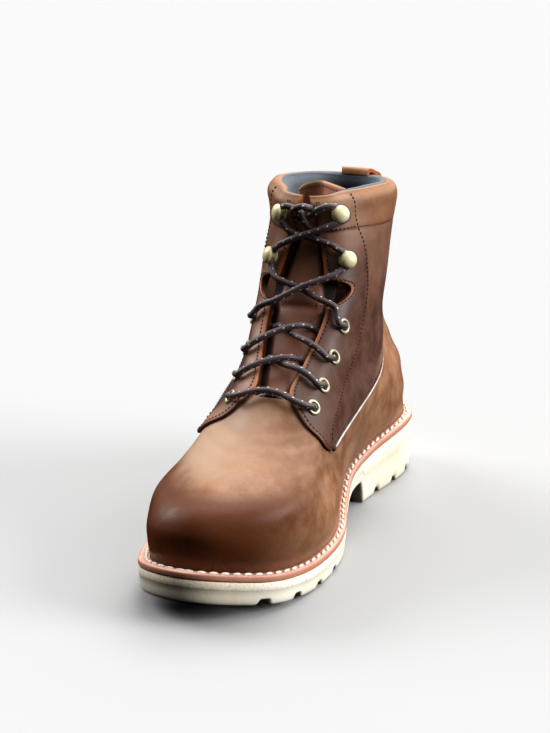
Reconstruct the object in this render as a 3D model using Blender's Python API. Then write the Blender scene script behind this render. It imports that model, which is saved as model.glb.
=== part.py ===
"""Right lace-up hunting boot, built on its last: sole, welt, insole, upper, panels and laces.

The toe points to -Y and the heel to +Y, the inner side of the foot is at +X, and the floor
is z = 0. Sizes and tables are in millimetres and degrees, and the meshes are in metres.
"""

import math
from collections import namedtuple

import bmesh
import bpy
import numpy as np
from mathutils import Vector

MM = 0.001

# Driving sizes of the boot
SOLE_LENGTH = 305.0
BALL_WIDTH = 103.5
COLLAR_HEIGHT = 190.0
TOE_SPRING = 12.8
ARCH_HEIGHT = 14.0

# Thicknesses and clearances
GAP = 0.35
WELT_THICK = 4.0
INSOLE_THICK = 4.0
WALL = 2.2
PANEL_THICK = 1.7
PANEL_GAP = 0.65
COLLAR_GAP = 0.95
TONGUE_THICK = 3.0
LOOP_THICK = 2.0
PANEL_TOP = PANEL_GAP + PANEL_THICK
SHARP_DEGREES = 40.0

# Hardware and cord
EYELET_HOLE_R = 2.6
EYELET_BARREL_R = 3.2
EYELET_RIM_R = 4.4
EYELET_RIM_THICK = 1.2
EYELET_TAIL = 0.75
EYELET_BORE_R = 3.6
HARDWARE_SIDES = 8
LACE_R = 1.95
LACE_SIDES = 6
PIPING_R = 0.9
PIPING_FROM_EDGE = 1.4
PIPING_SIDES = 5
HookRow = namedtuple("HookRow", "radius height")
HOOK_PROFILE = [
    HookRow(0.0, 0.0),
    HookRow(4.0, 0.0),
    HookRow(4.0, 0.7),
    HookRow(2.0, 1.0),
    HookRow(2.0, 3.2),
    HookRow(5.1, 3.6),
    HookRow(5.2, 4.6),
    HookRow(3.8, 6.6),
    HookRow(0.0, 7.4),
]

# Profile of the tread along the boot: the toe springs up ahead of the flat forefoot, and the
# arch rises behind it to the slanted heel breast
FOREFOOT_FRONT_Y = -70.0
ARCH_FRONT_Y = -30.0
ARCH_TOP_Y = 40.0
HEEL_BREAST_Y = 50.0
BREAST_SLANT = 5.0

# Side of the sole: share of its height, inset from the outline
SideRow = namedtuple("SideRow", "share inset")
SOLE_SIDE = [SideRow(0.0, 1.8), SideRow(0.62, 1.0), SideRow(0.68, 0.2), SideRow(1.0, 0.2)]
SOLE_STATIONS = 29

# Lugs cut into the edge of the tread
LUG_DEPTH = 4.2
LUG_WIDTH = 8.0
LUG_TOP_SHARE = 0.6
LUG_REACH = 23.0
LUG_CUT_MARGIN = 10.0
FOREFOOT_LUGS_Y = (-124.0, -101.0, -78.0, -55.0)
HEEL_LUGS_Y = (71.0, 93.0, 115.0, 136.0)

# The last was drawn at this size, and the tables below are scaled from it
PATTERN_LENGTH = 305.0
PATTERN_BALL = 103.5
PATTERN_HEIGHT = 190.0
LONG = SOLE_LENGTH / PATTERN_LENGTH
WIDE = BALL_WIDTH / PATTERN_BALL
TALL = COLLAR_HEIGHT / PATTERN_HEIGHT

# Outline of the sole: share of the length from the toe, half width inside, half width outside
SoleRow = namedtuple("SoleRow", "share inside outside")
SOLE_OUTLINE = [
    SoleRow(0.04, 24.0, 25.5),
    SoleRow(0.10, 39.0, 36.0),
    SoleRow(0.18, 47.5, 44.0),
    SoleRow(0.28, 50.5, 50.5),
    SoleRow(0.38, 48.0, 53.0),
    SoleRow(0.50, 37.0, 47.0),
    SoleRow(0.60, 30.0, 42.0),
    SoleRow(0.72, 31.0, 39.0),
    SoleRow(0.84, 35.5, 37.5),
    SoleRow(0.93, 31.5, 31.0),
    SoleRow(0.98, 19.0, 18.0),
]

# Height of the welt's top face along the boot, where the upper stands
FeatherRow = namedtuple("FeatherRow", "y z")
FEATHER_TOE = FeatherRow(-145.0, 28.0)
FEATHER_HEEL = FeatherRow(147.0, 36.0)
FEATHER_LINE = [
    FeatherRow(-152.0, 29.3),
    FeatherRow(-120.0, 21.3),
    FeatherRow(-97.0, 18.0),
    FeatherRow(-67.0, 16.5),
    FeatherRow(-36.0, 17.0),
    FeatherRow(0.0, 21.0),
    FeatherRow(30.0, 27.0),
    FeatherRow(67.0, 32.0),
    FeatherRow(100.0, 35.0),
    FeatherRow(152.0, 36.0),
]

# Width of the welt beyond the upper, against the share of the length
WeltRow = namedtuple("WeltRow", "share width")
WELT_WIDTHS = [WeltRow(0.0, 7.5), WeltRow(0.1, 6.0), WeltRow(0.9, 5.0), WeltRow(1.0, 5.0)]
WELT_UNDER_UPPER = 1.2
WELT_STATIONS = 52

# Insole from its lower face to its upper one: inset from the wall, height over the feather line
InsoleRow = namedtuple("InsoleRow", "inset lift")
INSOLE_LEVELS = [
    InsoleRow(2.8, GAP - WELT_THICK),
    InsoleRow(2.8, GAP),
    InsoleRow(2.2, GAP),
    InsoleRow(2.2, INSOLE_THICK),
]
INSOLE_STATIONS = 19

# Rings 1 to 15 of the last, up to above the collar; ring 0 is the sole's outline inside the welt.
# Each ring runs from its toe point to its heel point; the widths are half widths at the six
# shares of that run, before rounding off the ends. The dip says how far the ring follows the
# feather line, and the two offsets move its ends sideways.
Ring = namedtuple(
    "Ring", "toe_y toe_z heel_y heel_z tip cap ball waist heel back dip toe_x heel_x"
)
RING_SHARES = (0.0, 0.08, 0.27, 0.55, 0.85, 1.0)
RINGS = [
    Ring(-146, 38, 149, 45, 70, 62, 54, 35, 45, 52, 0.95, 2, 1),
    Ring(-146, 48, 149, 54, 70, 64, 53, 38, 46, 52, 0.80, 3, 1),
    Ring(-139, 58, 148, 63, 63, 63, 48, 40, 45, 50, 0.55, 5, 0),
    Ring(-123, 65, 146, 72, 52, 55, 43, 41, 42, 48, 0.35, 8, 0),
    Ring(-98, 73, 142, 80, 43, 47, 39, 40, 38, 46, 0.10, 10, -2),
    Ring(-77, 81, 138, 88, 42, 42, 36, 38, 34, 44, 0.00, 12, -3),
    Ring(-60, 91, 133, 97, 46, 40, 33, 35, 30, 43, -0.10, 12, -4),
    Ring(-42, 101, 129, 109, 50, 40, 33, 33, 29, 43, -0.10, 11, -4),
    Ring(-25, 113, 125, 123, 51, 41, 33, 31, 30, 43, 0.00, 9, -4),
    Ring(-9, 128, 122, 141, 51, 42, 33, 31, 32, 42, 0.00, 8, -3),
    Ring(3, 146, 120, 157, 49, 41, 33, 31, 34, 42, 0.00, 7, -3),
    Ring(10, 166, 118, 170, 44, 37, 32, 32, 35, 41, 0.00, 7, -3),
    Ring(14, 181, 115, 178, 40, 32, 30, 32, 34, 39, 0.00, 5, -2),
    Ring(14, 190, 113, 182, 39, 29, 30, 32, 33, 38, 0.00, 4, -2),
    Ring(14, 200, 112, 187, 38, 29, 30, 32, 33, 38, 0.00, 4, -2),
]
SOLE_CURVE_FROM = 40.0
SOLE_CURVE_TO = 120.0

# Places on the last: ring number, and angle from the front ridge, mirrored to both sides
Place = namedtuple("Place", "ring angle")
THROAT_RING = 7.2
THROAT_ANGLE = 13.5
NOTCH_LOW = 10.2
NOTCH_HIGH = 10.95
NOTCH_REACH = 22.0
FRONT_EDGE = [
    Place(4.35, 61.0),
    Place(4.75, 53.0),
    Place(5.4, 43.0),
    Place(6.0, 33.0),
    Place(6.55, 24.0),
    Place(6.95, 17.0),
    Place(THROAT_RING, THROAT_ANGLE),
    Place(8.3, 14.0),
    Place(9.4, 18.0),
    Place(10.1, 19.5),
    Place(11.05, 15.5),
    Place(11.95, 10.5),
    Place(13.0, 6.0),
    Place(14.0, 4.0),
]
REAR_EDGE = [
    Place(4.35, 65.0),
    Place(4.85, 77.5),
    Place(5.25, 84.5),
    Place(5.75, 91.5),
    Place(6.35, 98.5),
    Place(7.0, 105.0),
    Place(8.0, 115.0),
    Place(9.0, 125.0),
    Place(10.0, 134.0),
    Place(12.3, 146.0),
]
EYELETS = [Place(6.65, 33.0), Place(7.4, 36.0), Place(8.48, 37.5), Place(9.53, 38.0)]
# Lace hooks of each side; the outer facing is drawn in closer to the throat than the inner one
HOOKS = {
    1: [Place(11.43, 29.5), Place(12.82, 25.0)],
    -1: [Place(11.4, 21.0), Place(12.82, 15.0)],
}
TONGUE_EDGE = [
    Place(6.3, 20.0),
    Place(7.0, 23.0),
    Place(8.0, 26.0),
    Place(10.0, 27.0),
    Place(11.0, 32.0),
    Place(13.0, 37.0),
    Place(14.8, 38.0),
]
# Middle of the tongue, which slides to the inner side towards its top
TONGUE_MIDDLE = [
    Place(6.3, 0.0),
    Place(10.0, 0.0),
    Place(12.0, 4.0),
    Place(13.5, 12.0),
    Place(14.8, 17.0),
]
COLLAR_SEAM_FRONT = 12.25
COLLAR_SEAM_BACK = 11.8
WALL_TOP = 13.6
# Rim of the collar: ring at angles from the front, lowest at the facings
RimRow = namedtuple("RimRow", "angle ring")
COLLAR_RIM = [
    RimRow(0.0, 13.85),
    RimRow(20.0, 14.05),
    RimRow(50.0, 14.38),
    RimRow(110.0, 14.35),
    RimRow(180.0, 14.15),
]
SEAM_DROP_FROM = 40.0
SEAM_DROP_RUN = 90.0
SEAM_CLEARANCE = 0.08

# Rings of the upper's own grid, closer together round the throat and the flex notch
UPPER_RINGS = (
    0.0, 0.6, 1.2, 1.8, 2.4, 3.0, 3.6, 4.2, 4.9, 5.6, 6.3, THROAT_RING, 8.0, 8.8, 9.6,
    NOTCH_LOW, 10.35, 10.575, 10.8, NOTCH_HIGH, 11.7, 12.6, WALL_TOP,
)
QUARTER_RINGS = (
    4.35, 4.6, 4.9, 5.3, 5.8, 6.3, 6.8, THROAT_RING, 8.0, 8.8, 9.6, NOTCH_LOW, 10.35, 10.575,
    10.8, NOTCH_HIGH, 11.7, 12.2,
)
QUARTER_COLUMNS = 13
UPPER_FRONT_CELLS = 4
UPPER_SIDE_CELLS = 32
FRONT_CROWDING = 0.4

# Tongue: depth of its outer face below the last, deeper inside the collar
TongueRow = namedtuple("TongueRow", "ring depth")
TONGUE_DEPTHS = [
    TongueRow(6.0, 3.2),
    TongueRow(8.0, 3.6),
    TongueRow(11.0, 3.6),
    TongueRow(12.5, 5.8),
    TongueRow(15.0, 6.8),
]
TONGUE_LOW = 6.3
TONGUE_TOP = 14.8
TONGUE_ARCH = 0.6
TONGUE_EDGE_SINK = 2.2
TONGUE_ARCH_FROM = 11.0
TONGUE_ROWS = 12
TONGUE_COLUMNS = 8

# Padding of the collar, from its seam to its top: share of the height, outer offset, lining
CollarRow = namedtuple("CollarRow", "share outside lining")
COLLAR_PADDING = [
    CollarRow(0.0, 2.0, 1.0),
    CollarRow(0.25, 3.6, 2.7),
    CollarRow(0.55, 4.6, 4.2),
    CollarRow(0.82, 3.8, 3.5),
    CollarRow(1.0, 1.2, 1.6),
]
COLLAR_SHARES = (0.0, 0.2, 0.52, 0.84, 1.0)
COLLAR_COLUMNS = 29
COLLAR_RIM_DEPTH = 0.8
LINING_SHARES = (0.0, 0.45, 0.84, 1.0)
LINING_COLUMNS = 27
LINING_RIM_DEPTH = 1.3
LINING_THIN = 0.3
LINING_SWELL_FROM = 30.0
LINING_SWELL_RUN = 45.0

# Laces, as ring, angle and height above the last for each point of a strand
LacePoint = namedtuple("LacePoint", "ring angle height")
LACE_BAR = [
    LacePoint(6.72, -27.0, 5.2),
    LacePoint(6.9, -18.0, 5.4),
    LacePoint(7.2, -8.0, 4.2),
    LacePoint(7.3, 0.0, 3.8),
    LacePoint(7.2, 8.0, 4.2),
    LacePoint(6.9, 18.0, 5.4),
    LacePoint(6.72, 27.0, 5.2),
]
# A crossing's strand leaves an eyelet over one facing and goes under the other one
CROSS_OVER = [
    LacePoint(0.03, -29.0, 5.2),
    LacePoint(0.45, -19.0, 5.4),
    LacePoint(0.95, -6.0, 4.2),
    LacePoint(1.25, 4.0, 2.6),
    LacePoint(1.3, 7.5, 1.2),
]
CROSS_UNDER = [
    LacePoint(0.03, 29.0, 5.3),
    LacePoint(0.4, 20.0, 5.6),
    LacePoint(0.68, 12.0, 5.0),
    LacePoint(0.92, 4.0, 2.0),
    LacePoint(1.12, -4.0, 0.8),
    LacePoint(1.25, -7.5, 1.0),
]
CROSS_RINGS = (7.42, 8.45)
HOOK_OVER = [
    LacePoint(9.6, -31.0, 5.4),
    LacePoint(10.2, -13.0, 5.6),
    LacePoint(10.6, 0.0, 5.0),
    LacePoint(10.87, 11.0, 5.4),
    LacePoint(11.05, 21.0, 5.6),
]
HOOK_UNDER = [
    LacePoint(9.6, 31.0, 5.4),
    LacePoint(10.1, 24.5, 5.5),
    LacePoint(10.34, 16.0, 5.2),
    LacePoint(10.58, 6.5, 2.2),
    LacePoint(10.74, -2.0, 1.6),
    LacePoint(10.79, -9.0, 4.4),
    LacePoint(10.9, -16.0, 5.6),
]
TOP_OVER = [
    LacePoint(11.75, -16.0, 6.0),
    LacePoint(11.92, -9.0, 5.8),
    LacePoint(12.08, -2.5, 5.6),
    LacePoint(12.23, 6.0, 5.6),
    LacePoint(12.38, 15.0, 6.6),
]
TOP_UNDER = [
    LacePoint(11.76, 22.0, 5.9),
    LacePoint(11.88, 17.0, 5.6),
    LacePoint(11.98, 10.5, 5.0),
    LacePoint(12.05, 4.0, 2.4),
    LacePoint(12.1, -2.5, 2.0),
    LacePoint(12.16, -7.0, 4.4),
    LacePoint(12.22, -11.0, 5.6),
]
LACE_KNOT = [
    LacePoint(13.35, -6.5, 8.2),
    LacePoint(13.1, -3.5, 8.0),
    LacePoint(12.9, 0.5, 8.0),
    LacePoint(12.95, 6.5, 8.0),
    LacePoint(13.3, 12.0, 8.4),
    LacePoint(13.4, 16.0, 8.4),
]

# Pull loop over the back of the collar: ring and height of the strap's middle
LoopRow = namedtuple("LoopRow", "ring height")
LOOP_PATH = [
    LoopRow(12.2, 5.0),
    LoopRow(12.8, 6.8),
    LoopRow(13.3, 7.0),
    LoopRow(13.8, 6.2),
    LoopRow(14.4, 4.4),
    LoopRow(14.8, 1.8),
    LoopRow(14.9, -1.2),
    LoopRow(14.75, -2.8),
    LoopRow(14.6, -3.2),
]
LOOP_MIDDLE = 174.0
LOOP_HALF_ANGLE = 16.0
LOOP_LEAN_RING = 13.5
LOOP_ROWS = 12
LOOP_COLUMNS = 4
PIPING_POINTS = 21
STRAND_POINTS = 10
BAR_POINTS = 13


# Curves and the last

def smooth_curve(knots, values, at):
    """Values at the knots joined by a smooth curve, held level past both ends."""
    knots = np.asarray(knots, float)
    values = np.asarray(values, float)
    slopes = np.gradient(values, knots)
    at = np.clip(np.asarray(at, float), knots[0], knots[-1])
    low = np.clip(np.searchsorted(knots, at, side="right") - 1, 0, len(knots) - 2)
    span = knots[low + 1] - knots[low]
    t = (at - knots[low]) / span
    return (
        values[low] * (1 + 2 * t) * (1 - t) ** 2
        + slopes[low] * span * t * (1 - t) ** 2
        + values[low + 1] * t * t * (3 - 2 * t)
        - slopes[low + 1] * span * t * t * (1 - t)
    )


def smooth_step(share):
    share = np.clip(share, 0.0, 1.0)
    return share * share * (3 - 2 * share)


def place_curve(places, ring):
    """Angle in degrees of an edge at the given rings."""
    return smooth_curve([p.ring for p in places], [p.angle for p in places], ring)


def feather_height(y):
    """Height of the welt's top face at this distance along the boot."""
    return smooth_curve(
        [row.y * LONG for row in FEATHER_LINE], [row.z for row in FEATHER_LINE], y
    )


def feather_dip(y):
    """How far the feather line lies from a straight line between its ends."""
    ends_y = [FEATHER_TOE.y * LONG, FEATHER_HEEL.y * LONG]
    return feather_height(y) - np.interp(y, ends_y, [FEATHER_TOE.z, FEATHER_HEEL.z])


def sole_half_widths(share):
    """Half widths inside and outside, divided by those of a unit ellipse at this share."""
    shares = np.array([row.share for row in SOLE_OUTLINE])
    ellipse = 2 * np.sqrt(shares * (1 - shares))
    inside = np.array([row.inside for row in SOLE_OUTLINE]) * WIDE / ellipse
    outside = np.array([row.outside for row in SOLE_OUTLINE]) * WIDE / ellipse
    return smooth_curve(shares, inside, share), smooth_curve(shares, outside, share)


def sole_edge(angle):
    """Plan outline of the sole at angles from the toe, counted over the inner side."""
    share = (1 - np.cos(angle)) / 2
    inside, outside = sole_half_widths(share)
    x = np.where(np.sin(angle) >= 0, inside, outside) * np.sin(angle)
    return np.stack([x, (share - 0.5) * SOLE_LENGTH], axis=-1)


def sole_outline(angle, inset):
    """The sole's outline moved inwards by an inset."""
    step = 0.01
    along = sole_edge(angle + step) - sole_edge(angle - step)
    along /= np.linalg.norm(along, axis=-1, keepdims=True)
    outward = np.stack([along[..., 1], -along[..., 0]], axis=-1)
    return sole_edge(angle) - outward * np.asarray(inset)[..., None]


def welt_width(angle):
    """Width of the welt beyond the upper at angles from the toe."""
    share = (1 - np.cos(angle)) / 2
    return smooth_curve(
        [row.share for row in WELT_WIDTHS], [row.width for row in WELT_WIDTHS], share
    )


def sole_middle(y):
    """Sideways swing of the sole's middle line."""
    share = np.clip(y / SOLE_LENGTH + 0.5, 0.0, 1.0)
    inside, outside = sole_half_widths(share)
    return (inside - outside) * np.sqrt(share * (1 - share))


def ring_points(number, angle):
    """One ring of the last at the given angles."""
    if number == 0:
        plan = sole_outline(angle, welt_width(angle))
        return np.concatenate([plan, feather_height(plan[..., 1:]) + GAP], axis=-1)
    ring = RINGS[number - 1]
    share = (1 - np.cos(angle)) / 2
    y = LONG * (ring.toe_y + (ring.heel_y - ring.toe_y) * share)
    z = TALL * (ring.toe_z + (ring.heel_z - ring.toe_z) * share) + ring.dip * feather_dip(y)
    widths = [ring.tip, ring.cap, ring.ball, ring.waist, ring.heel, ring.back]
    half = WIDE * smooth_curve(RING_SHARES, widths, share)
    low = smooth_step((SOLE_CURVE_TO - z) / (SOLE_CURVE_TO - SOLE_CURVE_FROM))
    middle = sole_middle(y) * low + ring.toe_x * (1 - share) + ring.heel_x * share
    return np.stack([half * np.sin(angle) + middle, y, z], axis=-1)


def last_point(ring, angle):
    """Points of the last at ring numbers and angles in radians."""
    ring, angle = np.broadcast_arrays(np.asarray(ring, float), np.asarray(angle, float))
    rings = np.stack([ring_points(number, angle) for number in range(len(RINGS) + 1)])
    slopes = np.gradient(rings, axis=0)
    low = np.clip(np.floor(ring).astype(int), 0, len(RINGS) - 1)
    t = (ring - low)[..., None]

    def pick(table, number):
        return np.take_along_axis(table, number[None, ..., None], axis=0)[0]

    return (
        pick(rings, low) * (1 + 2 * t) * (1 - t) ** 2
        + pick(slopes, low) * t * (1 - t) ** 2
        + pick(rings, low + 1) * t * t * (3 - 2 * t)
        - pick(slopes, low + 1) * t * t * (1 - t)
    )


def last_normal(ring, angle):
    """Outward directions of the last at ring numbers and angles in radians."""
    step = 0.02
    ring = np.asarray(ring, float)
    around = last_point(ring, angle + step) - last_point(ring, angle - step)
    up = last_point(ring + step, angle) - last_point(np.maximum(ring - step, 0.0), angle)
    normal = np.cross(around, up)
    return normal / np.linalg.norm(normal, axis=-1, keepdims=True)


def skin(ring, degrees, height):
    """Points at a height above the last."""
    angle = np.radians(degrees)
    return last_point(ring, angle) + last_normal(ring, angle) * np.asarray(height)[..., None]


def facing_angle(ring):
    """Angle of the facing's edge, with the flex notch between the eyelets and the hooks."""
    share = np.clip((ring - NOTCH_LOW) / (NOTCH_HIGH - NOTCH_LOW), 0.0, 1.0)
    return place_curve(FRONT_EDGE, ring) + NOTCH_REACH * np.sin(math.pi * share) ** 0.6


# Blender objects

def material(name, hex_colour, roughness, metallic=0.0):
    """A Principled material of a plain colour, given as sRGB."""
    channels = [int(hex_colour[i:i + 2], 16) / 255 for i in (0, 2, 4)]
    linear = [c / 12.92 if c <= 0.04045 else ((c + 0.055) / 1.055) ** 2.4 for c in channels]
    made = bpy.data.materials.new(name)
    made.use_nodes = True
    shader = made.node_tree.nodes["Principled BSDF"]
    shader.inputs["Base Color"].default_value = (*linear, 1.0)
    shader.inputs["Roughness"].default_value = roughness
    shader.inputs["Metallic"].default_value = metallic
    return made


def add_object(name, mesh, surface, parent):
    """Put a mesh into the scene, shaded smooth except at sharp edges."""
    mesh.shade_smooth()
    mesh.set_sharp_from_angle(angle=math.radians(SHARP_DEGREES))
    mesh.materials.append(surface)
    made = bpy.data.objects.new(name, mesh)
    made.parent = parent
    bpy.context.scene.collection.objects.link(made)
    return made


def add_helper(name, mesh, parent):
    """Put a mesh that only cuts or joins into the scene, left out of renders."""
    helper = bpy.data.objects.new(name, mesh)
    helper.parent = parent
    helper.hide_render = True
    helper.display_type = "WIRE"
    bpy.context.scene.collection.objects.link(helper)
    return helper


def mesh_from(name, points, faces):
    """A mesh in metres from points in millimetres, with its faces turned outwards."""
    mesh = bpy.data.meshes.new(name)
    mesh.from_pydata((np.asarray(points) * MM).tolist(), [], faces)
    shape = bmesh.new()
    shape.from_mesh(mesh)
    bmesh.ops.recalc_face_normals(shape, faces=shape.faces)
    shape.to_mesh(mesh)
    shape.free()
    return mesh


def shell_mesh(name, outer, inner, keep=None, wrap=False):
    """A closed shell between two grids of points, over the cells that are kept."""
    rows, columns = outer.shape[:2]
    across = columns if wrap else columns - 1
    if keep is None:
        keep = np.ones((rows - 1, across), bool)
    size = rows * columns
    faces = []
    edges = set()
    for i, j in np.argwhere(keep):
        k = (j + 1) % columns
        corners = [i * columns + j, i * columns + k, (i + 1) * columns + k, (i + 1) * columns + j]
        corners = [int(c) for c in corners]
        faces.append(corners)
        faces.append([c + size for c in reversed(corners)])
        edges.update(zip(corners, corners[1:] + corners[:1]))
    for a, b in sorted(edges):
        if (b, a) not in edges:
            faces.append([b, a, a + size, b + size])
    points = np.concatenate([outer.reshape(-1, 3), inner.reshape(-1, 3)])
    used = sorted({c for face in faces for c in face})
    place = {old: new for new, old in enumerate(used)}
    return mesh_from(name, points[used], [[place[c] for c in face] for face in faces])


def loft_mesh(name, loops):
    """A solid through closed loops from the toe round and back, with strips across both ends."""
    count = len(loops[0])
    faces = []
    for base in range(0, (len(loops) - 1) * count, count):
        for j in range(count):
            k = (j + 1) % count
            faces.append([base + j, base + k, base + count + k, base + count + j])
    for base in (0, (len(loops) - 1) * count):
        for j in range(count // 2):
            strip = [j, j + 1, (count - j - 1) % count, (count - j) % count]
            faces.append([base + c for c in dict.fromkeys(strip)])
    return mesh_from(name, np.concatenate(loops), faces)


def sheet_mesh(name, middle, thickness):
    """A sheet of even thickness about a grid of points."""
    across = np.gradient(middle, axis=1)
    along = np.gradient(middle, axis=0)
    normal = np.cross(across, along)
    normal /= np.linalg.norm(normal, axis=-1, keepdims=True)
    return shell_mesh(name, middle + normal * thickness / 2, middle - normal * thickness / 2)


def tube_mesh(name, path, radius, sides):
    """A round tube with closed ends along a path, its sides set square to the instep."""
    instep = [0.0, -0.6, 0.8]
    along = np.gradient(path, axis=0)
    along /= np.linalg.norm(along, axis=-1, keepdims=True)
    side = np.cross(along, instep)
    side /= np.linalg.norm(side, axis=-1, keepdims=True)
    other = np.cross(along, side)
    turn = np.arange(sides) * 2 * math.pi / sides
    circle = np.cos(turn)[:, None, None] * side + np.sin(turn)[:, None, None] * other
    points = (path + radius * circle).transpose(1, 0, 2)
    count = len(path)
    faces = [
        [i * sides + j, i * sides + (j + 1) % sides, (i + 1) * sides + (j + 1) % sides,
         (i + 1) * sides + j]
        for i in range(count - 1)
        for j in range(sides)
    ]
    faces.append(list(range(sides)))
    faces.append(list(range((count - 1) * sides, count * sides)))
    return mesh_from(name, points.reshape(-1, 3), faces)


def turned_mesh(name, profile, sides):
    """A profile of radius and height spun about Z."""
    shape = bmesh.new()
    corners = [shape.verts.new((r * MM, 0.0, z * MM)) for r, z in profile]
    chain = list(zip(corners, corners[1:]))
    if profile[0][0] > 0:
        chain.append((corners[-1], corners[0]))
    edges = [shape.edges.new(pair) for pair in chain]
    bmesh.ops.spin(
        shape,
        geom=corners + edges,
        cent=(0.0, 0.0, 0.0),
        axis=(0.0, 0.0, 1.0),
        angle=2 * math.pi,
        steps=sides,
    )
    bmesh.ops.remove_doubles(shape, verts=shape.verts, dist=1e-6)
    bmesh.ops.recalc_face_normals(shape, faces=shape.faces)
    mesh = bpy.data.meshes.new(name)
    shape.to_mesh(mesh)
    shape.free()
    return mesh


def set_on(made, point, normal):
    """Stand an object on a point of the boot, its Z along the normal."""
    made.location = Vector(point * MM)
    made.rotation_mode = "QUATERNION"
    made.rotation_quaternion = Vector(normal).to_track_quat("Z", "Y")


def add_boolean(made, helper, operation):
    modifier = made.modifiers.new(operation.lower(), "BOOLEAN")
    modifier.operation = operation
    modifier.solver = "EXACT"
    modifier.object = helper


# Sole, welt and insole

def tread_height(y):
    """Height of the tread's face: toe spring, flat forefoot, arch and flat heel."""
    sprung = FOREFOOT_FRONT_Y * LONG + SOLE_LENGTH / 2
    ahead = np.clip(FOREFOOT_FRONT_Y * LONG - y, 0.0, None)
    rise = (y - ARCH_FRONT_Y * LONG) / ((ARCH_TOP_Y - ARCH_FRONT_Y) * LONG)
    arch = np.where(y < HEEL_BREAST_Y * LONG, ARCH_HEIGHT * smooth_step(rise), 0.0)
    return TOE_SPRING * (ahead / sprung) ** 2 + arch


def station_angle(y):
    """Angle of the sole's outline at a distance along the boot, on the inner side."""
    return math.acos(-2 * y / SOLE_LENGTH)


def round_trip(half):
    """Angles all the way round from those of the inner side."""
    return np.concatenate([half, 2 * math.pi - half[-2:0:-1]])


def sole_angles():
    """Angles round the sole, with a pair at the heel breast on each side."""
    breast = HEEL_BREAST_Y * LONG
    pair = [station_angle(breast - BREAST_SLANT / 2), station_angle(breast + BREAST_SLANT / 2)]
    half = np.linspace(0.0, math.pi, SOLE_STATIONS)
    spacing = half[1] / 2
    clear = np.min(np.abs(half[:, None] - pair), axis=1) > spacing
    return round_trip(np.sort(np.concatenate([half[clear], pair])))


def add_outsole(surface, parent):
    """Sole and heel in one piece, with a step along its side and notches between its lugs."""
    angles = sole_angles()
    loops = []
    for row in SOLE_SIDE:
        plan = sole_outline(angles, np.full(len(angles), row.inset))
        low = tread_height(plan[:, 1])
        high = feather_height(plan[:, 1]) - WELT_THICK
        loops.append(np.column_stack([plan, low + (high - low) * row.share]))
    made = add_object("outsole", loft_mesh("outsole", loops), surface, parent)
    add_boolean(made, lug_cutter(parent), "DIFFERENCE")


def lug_cutter(parent):
    """Wedges that notch the edge of the tread between its lugs, on both sides."""
    box = [(0, 1, 3, 2), (4, 6, 7, 5), (0, 4, 5, 1), (2, 3, 7, 6), (0, 2, 6, 4), (1, 5, 7, 3)]
    points = []
    faces = []
    for y in FOREFOOT_LUGS_Y + HEEL_LUGS_Y:
        angle = station_angle(y * LONG)
        for side, turn in ((1.0, angle), (-1.0, 2 * math.pi - angle)):
            edge_x, edge_y = sole_edge(np.array(turn))
            top = tread_height(edge_y) + LUG_DEPTH
            start = len(points)
            for x in (edge_x + side * LUG_CUT_MARGIN, edge_x - side * LUG_REACH):
                for width, z in ((LUG_WIDTH, -LUG_CUT_MARGIN), (LUG_WIDTH * LUG_TOP_SHARE, top)):
                    points.append((x, edge_y - width / 2, z))
                    points.append((x, edge_y + width / 2, z))
            faces += [[start + corner for corner in face] for face in box]
    return add_helper("lug_cutter", mesh_from("lug_cutter", points, faces), parent)


def add_welt(surface, parent):
    """Flat strip round the sole, under the foot of the upper."""
    angles = np.linspace(0.0, 2 * math.pi, WELT_STATIONS, endpoint=False)
    reach = welt_width(angles) + WALL + WELT_UNDER_UPPER
    grids = []
    for drop in (0.0, WELT_THICK - GAP):
        rows = []
        for inset in (reach, np.zeros(len(angles))):
            plan = sole_outline(angles, inset)
            rows.append(np.column_stack([plan, feather_height(plan[:, 1]) - drop]))
        grids.append(np.stack(rows))
    add_object("welt", shell_mesh("welt", *grids, wrap=True), surface, parent)


def add_insole(surface, parent):
    """Footbed inside the welt, widening over it to the wall of the upper."""
    angles = round_trip(np.linspace(0.0, math.pi, INSOLE_STATIONS))
    wall = welt_width(angles) + WALL
    loops = []
    for row in INSOLE_LEVELS:
        plan = sole_outline(angles, wall + row.inset)
        loops.append(np.column_stack([plan, feather_height(plan[:, 1]) + row.lift]))
    add_object("insole", loft_mesh("insole", loops), surface, parent)


# Upper and what is sewn to it

def add_upper(surface, parent):
    """Hollow upper, open below, at the collar and along the throat with its flex notches."""
    rings = np.array(UPPER_RINGS)
    edge = np.where(rings < THROAT_RING, THROAT_ANGLE, facing_angle(rings))
    even = np.linspace(0.0, 1.0, UPPER_SIDE_CELLS + 1)
    side = even + FRONT_CROWDING * ((1 - np.cos(math.pi * even)) / 2 - even)
    front = np.linspace(-1.0, 1.0, UPPER_FRONT_CELLS + 1)[1:-1]
    degrees = np.concatenate(
        [edge[:, None] + (360 - 2 * edge[:, None]) * side, 360 + edge[:, None] * front], axis=1
    )
    ring = np.broadcast_to(rings[:, None], degrees.shape)
    outer = skin(ring, degrees, np.zeros(degrees.shape))
    inner = skin(ring, degrees, np.full(degrees.shape, -WALL))
    inner[0, :, 2] = feather_height(inner[0, :, 1]) + GAP
    keep = np.ones((len(rings) - 1, degrees.shape[1]), bool)
    keep[rings[:-1] >= THROAT_RING, UPPER_SIDE_CELLS:] = False
    mesh = shell_mesh("upper", outer, inner, keep, wrap=True)
    return add_object("upper", mesh, surface, parent)


def collar_seam(degrees):
    """Ring of the seam under the collar, lower towards the back."""
    back = smooth_step((np.abs(degrees) - SEAM_DROP_FROM) / SEAM_DROP_RUN)
    return COLLAR_SEAM_FRONT + (COLLAR_SEAM_BACK - COLLAR_SEAM_FRONT) * back


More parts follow.
